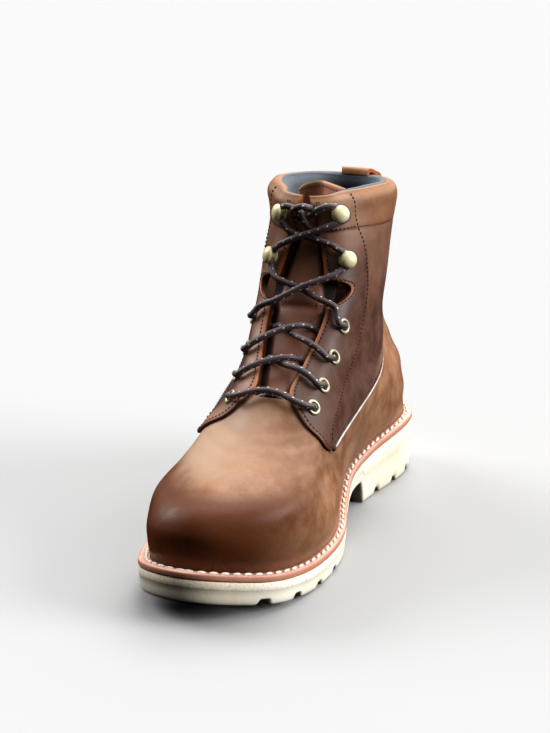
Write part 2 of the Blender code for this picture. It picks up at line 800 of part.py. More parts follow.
def panel_ring(ring, degrees):
    """Rings of the side panel, lowered towards its top so that it ends along the collar's seam."""
    share = (ring - QUARTER_RINGS[0]) / (QUARTER_RINGS[-1] - QUARTER_RINGS[0])
    return ring + share ** 3 * (collar_seam(degrees) - COLLAR_SEAM_FRONT)


def add_quarter(name, side, surface, parent):
    """Side panel with the facing, from the corner on the vamp up to the collar's seam."""
    rings = np.array(QUARTER_RINGS)
    edge = np.where(rings < THROAT_RING, place_curve(FRONT_EDGE, rings), facing_angle(rings))
    rear = place_curve(REAR_EDGE, rings)
    share = np.linspace(0.0, 1.0, QUARTER_COLUMNS)
    degrees = edge[:, None] + (rear - edge)[:, None] * share
    ring = panel_ring(rings[:, None], degrees)
    degrees = side * degrees
    outer = skin(ring, degrees, np.full(degrees.shape, PANEL_TOP))
    inner = skin(ring, degrees, np.full(degrees.shape, PANEL_GAP))
    return add_object(name, shell_mesh(name, outer, inner), surface, parent)


def add_piping(name, side, surface, parent):
    """Cord laid along the panel's rear edge."""
    rings = np.linspace(QUARTER_RINGS[0], QUARTER_RINGS[-1], PIPING_POINTS)
    degrees = place_curve(REAR_EDGE, rings)
    rings = panel_ring(rings, degrees)
    degrees = side * degrees
    path = skin(rings, degrees, np.full(len(rings), PIPING_R + PANEL_GAP))
    along = np.gradient(path, axis=0)
    away = side * np.cross(last_normal(rings, np.radians(degrees)), along)
    away /= np.linalg.norm(away, axis=-1, keepdims=True)
    mesh = tube_mesh(name, path - away * PIPING_FROM_EDGE, PIPING_R, PIPING_SIDES)
    add_object(name, mesh, surface, parent)


def collar_rim(degrees):
    """Ring of the collar's rim at angles from the front."""
    return smooth_curve([r.angle for r in COLLAR_RIM], [r.ring for r in COLLAR_RIM], degrees)


def collar_grid(shares, columns):
    """Ring numbers and angles of the collar's grid, from facing to facing round the back."""
    across = np.linspace(0.0, 1.0, columns)
    edge = facing_angle(np.linspace(COLLAR_SEAM_FRONT, COLLAR_RIM[0].ring, len(shares)))
    degrees = edge[:, None] + (360 - 2 * edge[:, None]) * across
    from_front = 180 - np.abs(degrees - 180)
    seam = collar_seam(from_front) + SEAM_CLEARANCE
    return seam + (collar_rim(from_front) - seam) * np.array(shares)[:, None], degrees


def collar_profile(column, shares):
    """One column of the collar's padding at shares of its height."""
    return smooth_curve(
        [row.share for row in COLLAR_PADDING],
        [getattr(row, column) for row in COLLAR_PADDING],
        shares,
    )


def add_collar(surface, parent):
    """Padded band outside the top of the shaft, turned in over its rim."""
    ring, degrees = collar_grid(COLLAR_SHARES, COLLAR_COLUMNS)
    outside = np.broadcast_to(collar_profile("outside", COLLAR_SHARES)[:, None], ring.shape)
    inside = np.full(ring.shape, COLLAR_GAP)
    inside[-1] = -COLLAR_RIM_DEPTH
    mesh = shell_mesh("collar", skin(ring, degrees, outside), skin(ring, degrees, inside))
    add_object("collar", mesh, surface, parent)


def add_collar_lining(surface, parent):
    """Padded band inside the top of the shaft, thinner beside the tongue."""
    ring, degrees = collar_grid(LINING_SHARES, LINING_COLUMNS)
    from_front = 180 - np.abs(degrees - 180)
    swell = smooth_step((from_front - LINING_SWELL_FROM) / LINING_SWELL_RUN)
    depth = collar_profile("lining", LINING_SHARES)[:, None]
    outside = np.full(ring.shape, -WALL - COLLAR_GAP)
    inside = outside - depth * (LINING_THIN + (1 - LINING_THIN) * swell)
    outside[-1] = -LINING_RIM_DEPTH
    mesh = shell_mesh("collar_lining", skin(ring, degrees, outside), skin(ring, degrees, inside))
    add_object("collar_lining", mesh, surface, parent)


def add_tongue(surface, parent):
    """Curved sheet behind the facings, rounded at its top above the collar."""
    rings = np.linspace(TONGUE_LOW, TONGUE_TOP, TONGUE_ROWS)
    share = np.linspace(-1.0, 1.0, TONGUE_COLUMNS)
    middle = place_curve(TONGUE_MIDDLE, rings)[:, None]
    degrees = middle + place_curve(TONGUE_EDGE, rings)[:, None] * share
    arched = smooth_step((rings - TONGUE_ARCH_FROM) / (TONGUE_TOP - TONGUE_ARCH_FROM))[:, None]
    ring = rings[:, None] - TONGUE_ARCH * arched * share ** 2
    depth = TONGUE_EDGE_SINK * arched * share ** 2 + smooth_curve(
        [row.ring for row in TONGUE_DEPTHS], [row.depth for row in TONGUE_DEPTHS], ring
    )
    outer = skin(ring, degrees, -depth)
    inner = skin(ring, degrees, -depth - TONGUE_THICK)
    add_object("tongue", shell_mesh("tongue", outer, inner), surface, parent)


def add_pull_loop(surface, parent):
    """Strap folded over the back of the collar."""
    rings = np.array([row.ring for row in LOOP_PATH])
    heights = np.array([row.height for row in LOOP_PATH])
    run = np.arange(len(rings))
    fine = np.linspace(0, len(rings) - 1, LOOP_ROWS)
    ring = smooth_curve(run, rings, fine)[:, None]
    height = smooth_curve(run, heights, fine)[:, None, None]
    angle = np.radians(LOOP_MIDDLE + LOOP_HALF_ANGLE * np.linspace(-1.0, 1.0, LOOP_COLUMNS))
    middle = last_point(ring, angle) + last_normal(LOOP_LEAN_RING, angle) * height
    add_object("pull_loop", sheet_mesh("pull_loop", middle, LOOP_THICK), surface, parent)


# Hardware and laces

def add_eyelets(upper, quarters, surface, parent):
    """Brass eyelets through the facing and the upper, in holes cut for them."""
    depth = PANEL_TOP + WALL + EYELET_TAIL
    profile = [
        (EYELET_HOLE_R, -depth),
        (EYELET_BARREL_R, -depth),
        (EYELET_BARREL_R, 0.0),
        (EYELET_RIM_R, 0.0),
        (EYELET_BARREL_R, EYELET_RIM_THICK),
    ]
    for side, side_name in ((1, "medial"), (-1, "lateral")):
        bores = bmesh.new()
        for number, place in enumerate(EYELETS, 1):
            name = f"eyelet_{side_name}_{number}"
            normal = last_normal(place.ring, math.radians(side * place.angle))
            foot = skin(place.ring, side * place.angle, PANEL_TOP + GAP)
            made = add_object(name, turned_mesh(name, profile, HARDWARE_SIDES), surface, parent)
            set_on(made, foot, normal)
            bore = np.stack([foot + normal * depth, foot - normal * 2 * depth])
            bores.from_mesh(tube_mesh(name, bore, EYELET_BORE_R, HARDWARE_SIDES))
        cutter_name = f"eyelet_bores_{side_name}"
        cutter_mesh = bpy.data.meshes.new(cutter_name)
        bores.to_mesh(cutter_mesh)
        bores.free()
        cutter = add_helper(cutter_name, cutter_mesh, parent)
        add_boolean(upper, cutter, "DIFFERENCE")
        add_boolean(quarters[side], cutter, "DIFFERENCE")


def add_hooks(surface, parent):
    """Domed lace hooks on the facing and on the collar."""
    for side, side_name in ((1, "medial"), (-1, "lateral")):
        for number, place in enumerate(HOOKS[side], 1):
            rim = float(collar_rim(place.angle))
            share = (place.ring - COLLAR_SEAM_FRONT) / (rim - COLLAR_SEAM_FRONT)
            under = PANEL_TOP if share < 0 else float(collar_profile("outside", share))
            name = f"hook_{side_name}_{number}"
            mesh = turned_mesh(name, HOOK_PROFILE, HARDWARE_SIDES)
            made = add_object(name, mesh, surface, parent)
            foot = skin(place.ring, side * place.angle, under + PANEL_GAP)
            set_on(made, foot, last_normal(place.ring, math.radians(side * place.angle)))


def strand_path(points, count, ring_offset=0.0):
    """A smooth path over the boot through a strand's points."""
    run = np.arange(len(points))
    fine = np.linspace(0, len(points) - 1, count)
    ring = smooth_curve(run, [p.ring + ring_offset for p in points], fine)
    degrees = smooth_curve(run, [p.angle for p in points], fine)
    return skin(ring, degrees, smooth_curve(run, [p.height for p in points], fine))


def add_crossing(name, over, under, ring_offset, surface, parent):
    """Two strands of lace joined where they cross."""
    low_name = f"{name}_under"
    top = tube_mesh(name, strand_path(over, STRAND_POINTS, ring_offset), LACE_R, LACE_SIDES)
    low = tube_mesh(low_name, strand_path(under, STRAND_POINTS, ring_offset), LACE_R, LACE_SIDES)
    made = add_object(name, top, surface, parent)
    add_boolean(made, add_helper(low_name, low, parent), "UNION")


def add_laces(surface, parent):
    """Bar across the lowest eyelets, the crossings above it, and the tied end at the top."""
    bar = tube_mesh("lace_bar", strand_path(LACE_BAR, BAR_POINTS), LACE_R, LACE_SIDES)
    add_object("lace_bar", bar, surface, parent)
    for number, ring in enumerate(CROSS_RINGS, 1):
        add_crossing(f"lace_cross_{number}", CROSS_OVER, CROSS_UNDER, ring, surface, parent)
    add_crossing("lace_cross_hooks", HOOK_OVER, HOOK_UNDER, 0.0, surface, parent)
    add_crossing("lace_cross_top", TOP_OVER, TOP_UNDER, 0.0, surface, parent)
    add_knot(surface, parent)


def add_knot(surface, parent):
    """Tied end of the lace, as a plain cord between the upper hooks."""
    curve = bpy.data.curves.new("lace_knot", "CURVE")
    curve.dimensions = "3D"
    curve.bevel_depth = LACE_R * MM
    curve.bevel_resolution = 2
    curve.use_fill_caps = True
    spline = curve.splines.new("POLY")
    path = strand_path(LACE_KNOT, BAR_POINTS) * MM
    spline.points.add(len(path) - 1)
    for point, place in zip(spline.points, path):
        point.co = (*place, 1.0)
    curve.materials.append(surface)
    knot = bpy.data.objects.new("lace_knot", curve)
    knot.parent = parent
    bpy.context.scene.collection.objects.link(knot)


def build_boot():
    for old in list(bpy.data.objects):
        bpy.data.objects.remove(old)
    boot = bpy.data.objects.new("boot", None)
    outline_x = sole_edge(round_trip(np.linspace(0.0, math.pi, WELT_STATIONS)))[:, 0]
    boot.location.x = -MM * (outline_x.min() + outline_x.max()) / 2
    bpy.context.scene.collection.objects.link(boot)
    oiled = material("oiled_leather", "7A4A2E", 0.45)
    dark = material("quarter_leather", "5C3526", 0.45)
    brass = material("brass", "C9BC86", 0.25, 1.0)
    cream = material("crepe_rubber", "E6D9B8", 0.7)
    cord = material("lace_cord", "2E2226", 0.8)
    white = material("piping_cord", "DCD8D0", 0.6)
    add_outsole(cream, boot)
    add_welt(material("welt_leather", "B5694A", 0.6), boot)
    add_insole(material("insole_board", "8A6A4A", 0.85), boot)
    upper = add_upper(oiled, boot)
    quarters = {
        1: add_quarter("quarter_medial", 1, dark, boot),
        -1: add_quarter("quarter_lateral", -1, dark, boot),
    }
    add_piping("piping_medial", 1, white, boot)
    add_piping("piping_lateral", -1, white, boot)
    add_collar(material("collar_leather", "8A5A3C", 0.5), boot)
    add_collar_lining(material("lining_cloth", "3F4A5C", 0.9), boot)
    add_tongue(dark, boot)
    add_pull_loop(material("loop_leather", "9A6A48", 0.55), boot)
    add_eyelets(upper, quarters, brass, boot)
    add_hooks(brass, boot)
    add_laces(cord, boot)


build_boot()
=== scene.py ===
"""Looks of a right lace-up hunting boot: leather, sole, seams, hardware and lace.

The boot stands on z = 0, its toe towards -Y and its inner side towards +X. Sizes in the classes are
millimetres and degrees, and the last turns them into the frame's metres. A place on the boot is a ring
of the last, counted up from the welt, and an angle from the front ridge, positive on the inner side.
"""

from __future__ import annotations

import logging
import math
from dataclasses import dataclass, field
from enum import Enum
from typing import Any, Callable, NamedTuple, Optional, Sequence

import bmesh
import bpy
import numpy as np
from mathutils import Matrix, Vector

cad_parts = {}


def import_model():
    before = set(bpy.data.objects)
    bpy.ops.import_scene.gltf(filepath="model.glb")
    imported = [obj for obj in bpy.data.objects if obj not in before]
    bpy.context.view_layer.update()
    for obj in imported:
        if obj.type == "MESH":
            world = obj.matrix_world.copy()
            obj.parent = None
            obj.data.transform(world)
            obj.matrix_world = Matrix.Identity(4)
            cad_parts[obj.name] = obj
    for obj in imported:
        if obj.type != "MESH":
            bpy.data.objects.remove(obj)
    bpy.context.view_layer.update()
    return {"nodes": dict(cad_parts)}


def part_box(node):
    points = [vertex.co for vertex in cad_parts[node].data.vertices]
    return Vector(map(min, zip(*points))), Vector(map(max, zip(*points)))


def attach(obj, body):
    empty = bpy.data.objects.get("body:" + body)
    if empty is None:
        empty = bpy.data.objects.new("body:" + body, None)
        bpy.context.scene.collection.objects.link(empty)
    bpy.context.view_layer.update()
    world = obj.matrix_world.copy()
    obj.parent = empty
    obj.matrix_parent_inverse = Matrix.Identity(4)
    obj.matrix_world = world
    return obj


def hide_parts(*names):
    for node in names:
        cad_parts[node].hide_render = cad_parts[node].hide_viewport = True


MM = 0.001
BODY = "root"
WELD = 0.002 * MM
SLIVER = 0.001 * MM
LOG = logging.getLogger("hunting_boot")


class Side(Enum):
    """Side of the boot, with the sign of its angles."""

    MEDIAL = 1.0
    LATERAL = -1.0


class Step(Enum):
    """An arithmetic step of a material."""

    ABSOLUTE = "ABSOLUTE"
    ADD = "ADD"
    FRACT = "FRACT"
    MAXIMUM = "MAXIMUM"
    MULTIPLY = "MULTIPLY"
    SINE = "SINE"
    SUBTRACT = "SUBTRACT"


SIDES = tuple((side.name.lower(), side.value) for side in Side)


class Place(NamedTuple):
    """A place on the last, mirrored to both sides of the boot."""

    ring: float
    angle: float


class LacePoint(NamedTuple):
    """A point of the lace: ring, angle, and height above the last."""

    ring: float
    angle: float
    height: float


class SoleRow(NamedTuple):
    """Half widths of the sole at a share of its length from the toe."""

    share: float
    inside: float
    outside: float


class LevelRow(NamedTuple):
    """A height against a distance along the boot."""

    y: float
    z: float


class Ring(NamedTuple):
    """One ring of the last, from its toe point to its heel point, with its half widths."""

    toe_y: float
    toe_z: float
    heel_y: float
    heel_z: float
    tip: float
    cap: float
    ball: float
    waist: float
    heel: float
    back: float
    dip: float
    toe_x: float
    heel_x: float


class Crease(NamedTuple):
    """A soft trough across the leather, with a ridge on each side of it."""

    ring: float
    angle: float
    spread: float
    slope: float
    width: float
    depth: float


class ProfileRow(NamedTuple):
    """A point of a section: a share or distance, and a height or inset there."""

    at: float
    value: float


class Lamp(NamedTuple):
    """A soft studio light: where it shines from, how strongly, and how wide it is seen to be."""

    name: str
    way: tuple[float, float, float]
    strength: float
    degrees: float


class Patch(NamedTuple):
    """A paler patch, of the leather's own tone or of painted sheen: how pale it is, the ring that it starts
    at, and the rings that it comes in over.
    """

    share: float
    ring: float
    rings: float

    def over(self, ring: np.ndarray) -> np.ndarray:
        """How pale the leather is at rings."""
        return self.share * ease(ring, self.ring, self.rings)


class LoopRow(NamedTuple):
    """A point of the pull loop's strap: ring, and height of its middle."""

    ring: float
    height: float


Array = np.ndarray
Piece = bpy.types.Object
Run = tuple[Array, Array]
Profile = tuple[ProfileRow, ...]
Places = tuple[Place, ...]
Strand = tuple[LacePoint, ...]


def smooth_curve(knots: Sequence[float], values: Sequence[float], at: Any) -> Array:
    """Join values at knots by a smooth curve, held level past both ends.

    Args:
        knots: Increasing positions.
        values: Value at each knot.
        at: Positions to read.

    Returns:
        The curve's values there.
    """
    knots = np.asarray(knots, float)
    values = np.asarray(values, float)
    slopes = np.gradient(values, knots)
    at = np.clip(np.asarray(at, float), knots[0], knots[-1])
    low = np.clip(np.searchsorted(knots, at, side="right") - 1, 0, len(knots) - 2)
    span = knots[low + 1] - knots[low]
    t = (at - knots[low]) / span
    return (
        values[low] * (1 + 2 * t) * (1 - t) ** 2
        + slopes[low] * span * t * (1 - t) ** 2
        + values[low + 1] * t * t * (3 - 2 * t)
        - slopes[low + 1] * span * t * t * (1 - t)
    )


def row_curve(rows: Sequence[Any], at: Any) -> Array:
    """Smooth curve through the second column of a table, against its first."""
    return smooth_curve([row[0] for row in rows], [row[1] for row in rows], at)


def smooth_step(share: Any) -> Array:
    """Ease from 0 to 1."""
    share = np.clip(share, 0.0, 1.0)
    return share * share * (3 - 2 * share)


def ease(at: Any, start: Any, run: float) -> Array:
    """Ease from 0 to 1 over a run from a start."""
    return smooth_step((at - start) / run)


def bell(at: Any, middle: Any, spread: float) -> Array:
    """Soft hump of height one round a middle."""
    return np.exp(-((at - middle) / spread) ** 2)


def edge_band(distance: Array, width: float) -> Array:
    """One at an edge, and gone soon past a width from it."""
    return np.exp(-(distance / width) ** 4)


def unit(vectors: Array) -> Array:
    """Vectors at length one."""
    return vectors / np.maximum(np.linalg.norm(vectors, axis=-1, keepdims=True), 1e-12)


def run_along(path: Array) -> Array:
    """Distance along a path up to each of its points."""
    return np.concatenate([[0.0], np.cumsum(np.linalg.norm(np.diff(path, axis=0), axis=1))])


def read_along(run: Array, rows: Array, at: Array) -> Array:
    """Values of three columns at distances along a path."""
    return np.stack([np.interp(at, run, rows[:, k]) for k in range(3)], axis=-1)


def spaced(stops: Sequence[float], counts: Sequence[int]) -> Array:
    """Values from stop to stop, so many in each stretch, that end on the last stop."""
    spans = enumerate(zip(stops, stops[1:], counts), 1)
    return np.concatenate([np.linspace(a, b, n, endpoint=k == len(counts)) for k, (a, b, n) in spans])


def nearest(share: Array, rows: Sequence[Any]) -> Array:
    """Numbers of the rows that stand at shares of a table."""
    return np.rint(share * (len(rows) - 1)).astype(int)


def from_front(degrees: Array) -> Array:
    """Angles from the front on either side, for angles all the way round."""
    return 180 - np.abs(degrees - 180)


def rows_of(kind: type, *rows: tuple[float, ...]) -> tuple[Any, ...]:
    """Rows of a named tuple from plain numbers."""
    return tuple(kind(*row) for row in rows)


@dataclass(frozen=True)
class Last:
    """The form that the boot is built on, as a function of ring and angle."""

    shift_x: float
    sole_length: float = 305.0
    gap: float = 0.35
    curve_from: float = 40.0
    curve_to: float = 120.0
    throat_ring: float = 7.2
    throat_angle: float = 13.5
    notch_low: float = 10.2
    notch_high: float = 10.95
    notch_reach: float = 22.0
    outline: tuple[SoleRow, ...] = rows_of(
        SoleRow, (0.04, 24, 25.5), (0.10, 39, 36), (0.18, 47.5, 44), (0.28, 50.5, 50.5), (0.38, 48, 53),
        (0.50, 37, 47), (0.60, 30, 42), (0.72, 31, 39), (0.84, 35.5, 37.5), (0.93, 31.5, 31),
        (0.98, 19, 18),
    )
    feather: tuple[LevelRow, ...] = rows_of(
        LevelRow, (-152, 29.3), (-120, 21.3), (-97, 18), (-67, 16.5), (-36, 17), (0, 21), (30, 27),
        (67, 32), (100, 35), (152, 36),
    )
    feather_toe: LevelRow = LevelRow(-145.0, 28.0)
    feather_heel: LevelRow = LevelRow(147.0, 36.0)
    welt_widths: Profile = rows_of(
        ProfileRow, (0, 7.5), (0.1, 6), (0.9, 5), (1, 5),
    )
    ring_shares: tuple[float, ...] = (0.0, 0.08, 0.27, 0.55, 0.85, 1.0)
    rings: tuple[Ring, ...] = rows_of(
        Ring,
        (-146, 38, 149, 45, 70, 62, 54, 35, 45, 52, 0.95, 2, 1),
        (-146, 48, 149, 54, 70, 64, 53, 38, 46, 52, 0.80, 3, 1),
        (-139, 58, 148, 63, 63, 63, 48, 40, 45, 50, 0.55, 5, 0),
        (-123, 65, 146, 72, 52, 55, 43, 41, 42, 48, 0.35, 8, 0),
        (-98, 73, 142, 80, 43, 47, 39, 40, 38, 46, 0.10, 10, -2),
        (-77, 81, 138, 88, 42, 42, 36, 38, 34, 44, 0.00, 12, -3),
        (-60, 91, 133, 97, 46, 40, 33, 35, 30, 43, -0.10, 12, -4),
        (-42, 101, 129, 109, 50, 40, 33, 33, 29, 43, -0.10, 11, -4),
        (-25, 113, 125, 123, 51, 41, 33, 31, 30, 43, 0.00, 9, -4),
        (-9, 128, 122, 141, 51, 42, 33, 31, 32, 42, 0.00, 8, -3),
        (3, 146, 120, 157, 49, 41, 33, 31, 34, 42, 0.00, 7, -3),
        (10, 166, 118, 170, 44, 37, 32, 32, 35, 41, 0.00, 7, -3),
        (14, 181, 115, 178, 40, 32, 30, 32, 34, 39, 0.00, 5, -2),
        (14, 190, 113, 182, 39, 29, 30, 32, 33, 38, 0.00, 4, -2),
        (14, 200, 112, 187, 38, 29, 30, 32, 33, 38, 0.00, 4, -2),
    )
    front_edge: Places = rows_of(
        Place, (4.35, 61), (4.75, 53), (5.4, 43), (6, 33), (6.55, 24), (6.95, 17), (7.2, 13.5),
        (8.3, 14), (9.4, 18), (10.1, 19.5), (11.05, 15.5), (11.95, 10.5), (13, 6), (14, 4),
    )
    rear_edge: Places = rows_of(
        Place, (4.35, 65), (4.85, 77.5), (5.25, 84.5), (5.75, 91.5), (6.35, 98.5), (7, 105), (8, 115),
        (9, 125), (10, 134), (12.3, 146),
    )

    @classmethod
    def in_frame(cls) -> "Last":
        """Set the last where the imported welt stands.

        Returns:
            The last.
        """
        low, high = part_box("welt")
        bare = cls(0.0)
        edge = bare.sole_edge(np.linspace(0.0, 2 * math.pi, 721))[:, 0]
        return cls((low.x + high.x) / 2 - MM * (edge.min() + edge.max()) / 2)

    @property
    def throat_stops(self) -> tuple[float, float, float]:
        """Rings of the throat's foot and of both ends of the flex notch."""
        return self.throat_ring, self.notch_low, self.notch_high

    def feather_height(self, y: Any) -> Array:
        """Height of the welt's top face along the boot."""
        return row_curve(self.feather, y)

    def feather_dip(self, y: Any) -> Array:
        """How far the feather line lies from a straight line between its ends."""
        toe, heel = self.feather_toe, self.feather_heel
        return self.feather_height(y) - np.interp(y, [toe.y, heel.y], [toe.z, heel.z])

    def half_widths(self, share: Any) -> tuple[Array, Array]:
        """Half widths inside and outside over those of a unit ellipse.

        Args:
            share: Shares of the length from toe to heel.

        Returns:
            Inner and outer factors.
        """
        shares = np.array([row.share for row in self.outline])
        ellipse = 2 * np.sqrt(shares * (1 - shares))
        inside = np.array([row.inside for row in self.outline]) / ellipse
        outside = np.array([row.outside for row in self.outline]) / ellipse
        return smooth_curve(shares, inside, share), smooth_curve(shares, outside, share)

    def sole_edge(self, angle: Array) -> Array:
        """Plan outline of the sole at angles in radians from the toe.

        Args:
            angle: Angles in radians.

        Returns:
            Points in millimetres.
        """
        share = (1 - np.cos(angle)) / 2
        inside, outside = self.half_widths(share)
        x = np.where(np.sin(angle) >= 0, inside, outside) * np.sin(angle)
        return np.stack([x, (share - 0.5) * self.sole_length], axis=-1)

    def sole_outline(self, angle: Array, inset: Any) -> Array:
        """The sole's outline moved inwards by an inset.

        Args:
            angle: Angles in radians.
            inset: Distance inwards.

        Returns:
            Points in millimetres.
        """
        step = 0.01
        along = unit(self.sole_edge(angle + step) - self.sole_edge(angle - step))
        outward = np.stack([along[..., 1], -along[..., 0]], axis=-1)
        return self.sole_edge(angle) - outward * np.asarray(inset)[..., None]

    def sole_middle(self, y: Array) -> Array:
        """Sideways swing of the sole's middle line.

        Args:
            y: Places along the sole.

        Returns:
            Shifts in millimetres.
        """
        share = np.clip(y / self.sole_length + 0.5, 0.0, 1.0)
        inside, outside = self.half_widths(share)
        return (inside - outside) * np.sqrt(share * (1 - share))

    def sole_spine(self, angle: Array, inset: Any) -> Array:
        """Points of the sole's middle line, the same for both sides of the outline."""
        y = -np.cos(angle) * (self.sole_length / 2 - np.asarray(inset))
        return np.stack([self.sole_middle(y), y], axis=-1)

    def welt_width(self, angle: Array) -> Array:
        """Width of the welt beyond the upper."""
        return row_curve(self.welt_widths, (1 - np.cos(angle)) / 2)

    def ring_points(self, number: int, angle: Array) -> Array:
        """One ring of the last at angles in radians; ring 0 stands on the welt.

        Args:
            number: Row of the rings.
            angle: Angles in radians.

        Returns:
            Points in millimetres.
        """
        if number == 0:
            plan = self.sole_outline(angle, self.welt_width(angle))
            return np.concatenate([plan, self.feather_height(plan[..., 1:]) + self.gap], axis=-1)
        ring = self.rings[number - 1]
        share = (1 - np.cos(angle)) / 2
        y = ring.toe_y + (ring.heel_y - ring.toe_y) * share
        z = ring.toe_z + (ring.heel_z - ring.toe_z) * share + ring.dip * self.feather_dip(y)
        widths = [ring.tip, ring.cap, ring.ball, ring.waist, ring.heel, ring.back]
        half = smooth_curve(self.ring_shares, widths, share)
        low = smooth_step((self.curve_to - z) / (self.curve_to - self.curve_from))
        middle = self.sole_middle(y) * low + ring.toe_x * (1 - share) + ring.heel_x * share
        return np.stack([half * np.sin(angle) + middle, y, z], axis=-1)

    def point(self, ring: Any, angle: Any) -> Array:
        """Points of the last in millimetres, at rings and angles in radians.

        Args:
            ring: Rings.
            angle: Angles in radians.

        Returns:
            Points in millimetres.
        """
        ring, angle = np.broadcast_arrays(np.asarray(ring, float), np.asarray(angle, float))
        rings = np.stack([self.ring_points(n, angle) for n in range(len(self.rings) + 1)])
        slopes = np.gradient(rings, axis=0)
        low = np.clip(np.floor(ring).astype(int), 0, len(self.rings) - 1)
        t = (ring - low)[..., None]

        def pick(table: Array, number: Array) -> Array:
            """Read each point's own ring from a table of rings."""
            return np.take_along_axis(table, number[None, ..., None], axis=0)[0]

        return (
            pick(rings, low) * (1 + 2 * t) * (1 - t) ** 2
            + pick(slopes, low) * t * (1 - t) ** 2
            + pick(rings, low + 1) * t * t * (3 - 2 * t)
            - pick(slopes, low + 1) * t * t * (1 - t)
        )

    def normal(self, ring: Any, degrees: Any) -> Array:
        """Outward directions of the last.

        Args:
            ring: Rings.
            degrees: Angles in degrees.

        Returns:
            Directions of length one.
        """
        step = 0.02
        ring, angle = np.broadcast_arrays(np.asarray(ring, float), np.radians(degrees))
        around = self.point(ring, angle + step) - self.point(ring, angle - step)
        up = self.point(ring + step, angle) - self.point(np.maximum(ring - step, 0.0), angle)
        return unit(np.cross(around, up))

    def skin(self, ring: Any, degrees: Any, height: Any = 0.0) -> Array:
        """Points in metres at a height in millimetres above the last.

        Args:
            ring: Rings.
            degrees: Angles in degrees.
            height: Heights above the last.

        Returns:
            Points in metres.
        """
        ring, degrees, height = np.broadcast_arrays(
            np.asarray(ring, float), np.asarray(degrees, float), np.asarray(height, float)
        )
        points = self.point(ring, np.radians(degrees)) + self.normal(ring, degrees) * height[..., None]
        return self.in_metres(points)

    def run(self, ring: Any, degrees: Any, height: Any) -> Run:
        """Points in metres above the last, with outward directions."""
        return self.skin(ring, degrees, height), self.normal(ring, degrees)

    def in_metres(self, points: Array) -> Array:
        """Millimetres of the last as metres of the frame."""
        return points * MM + np.array([self.shift_x, 0.0, 0.0])

    def raised(self, plan: Array, z: Array) -> Array:
        """Points of a plan at their heights, as metres of the frame."""
        return self.in_metres(np.concatenate([plan, z[..., None]], axis=-1))

    def front_angle(self, ring: Array) -> Array:
        """Angle of the side panel's front edge, with the flex notch in its facing.

        Args:
            ring: Rings.

        Returns:
            Angles in degrees.
        """
        share = np.clip((ring - self.notch_low) / (self.notch_high - self.notch_low), 0.0, 1.0)
        notch = np.where(ring < self.throat_ring, 0.0, np.sin(math.pi * share) ** 0.6)
        return row_curve(self.front_edge, ring) + self.notch_reach * notch

    def rear_angle(self, ring: Array) -> Array:
        """Angle of the side panel's rear edge."""
        return row_curve(self.rear_edge, ring)


def srgb(hex_colour: str) -> tuple[float, float, float, float]:
    """Turn an sRGB hex value into linear colour.

    Args:
        hex_colour: Six hex digits.

    Returns:
        Red, green, blue and an alpha of one.
    """
    channels = [int(hex_colour[i:i + 2], 16) / 255 for i in (0, 2, 4)]
    linear = [c / 12.92 if c <= 0.04045 else ((c + 0.055) / 1.055) ** 2.4 for c in channels]
    return (linear[0], linear[1], linear[2], 1.0)


def per_metre(size_mm: float) -> float:
    """Texture scale on Object coordinates for a pattern of this size."""
    return 1.0 / (size_mm * MM)


def wire(tree: Any, node: Any, inputs: dict[Any, Any]) -> None:
    """Set or link the inputs of a node.

    Args:
        tree: Node tree of the material.
        node: The node.
        inputs: Input name or number to a value, or to an output socket to link.
    """
    for key, value in inputs.items():
        if isinstance(value, bpy.types.NodeSocket):
            tree.links.new(value, node.inputs[key])
        else:
            node.inputs[key].default_value = value


def add_node(tree: Any, kind: str, inputs: Optional[dict[Any, Any]] = None, **settings: Any) -> Any:
    """Add a node, set it and wire it.

    Args:
        tree: Node tree of the material.
        kind: Blender's name of the node.
        inputs: What its inputs get.
        **settings: Properties of the node.

    Returns:
        The node.
    """
    node = tree.nodes.new(kind)
    for name, value in settings.items():
        setattr(node, name, value)
    wire(tree, node, inputs or {})
    return node


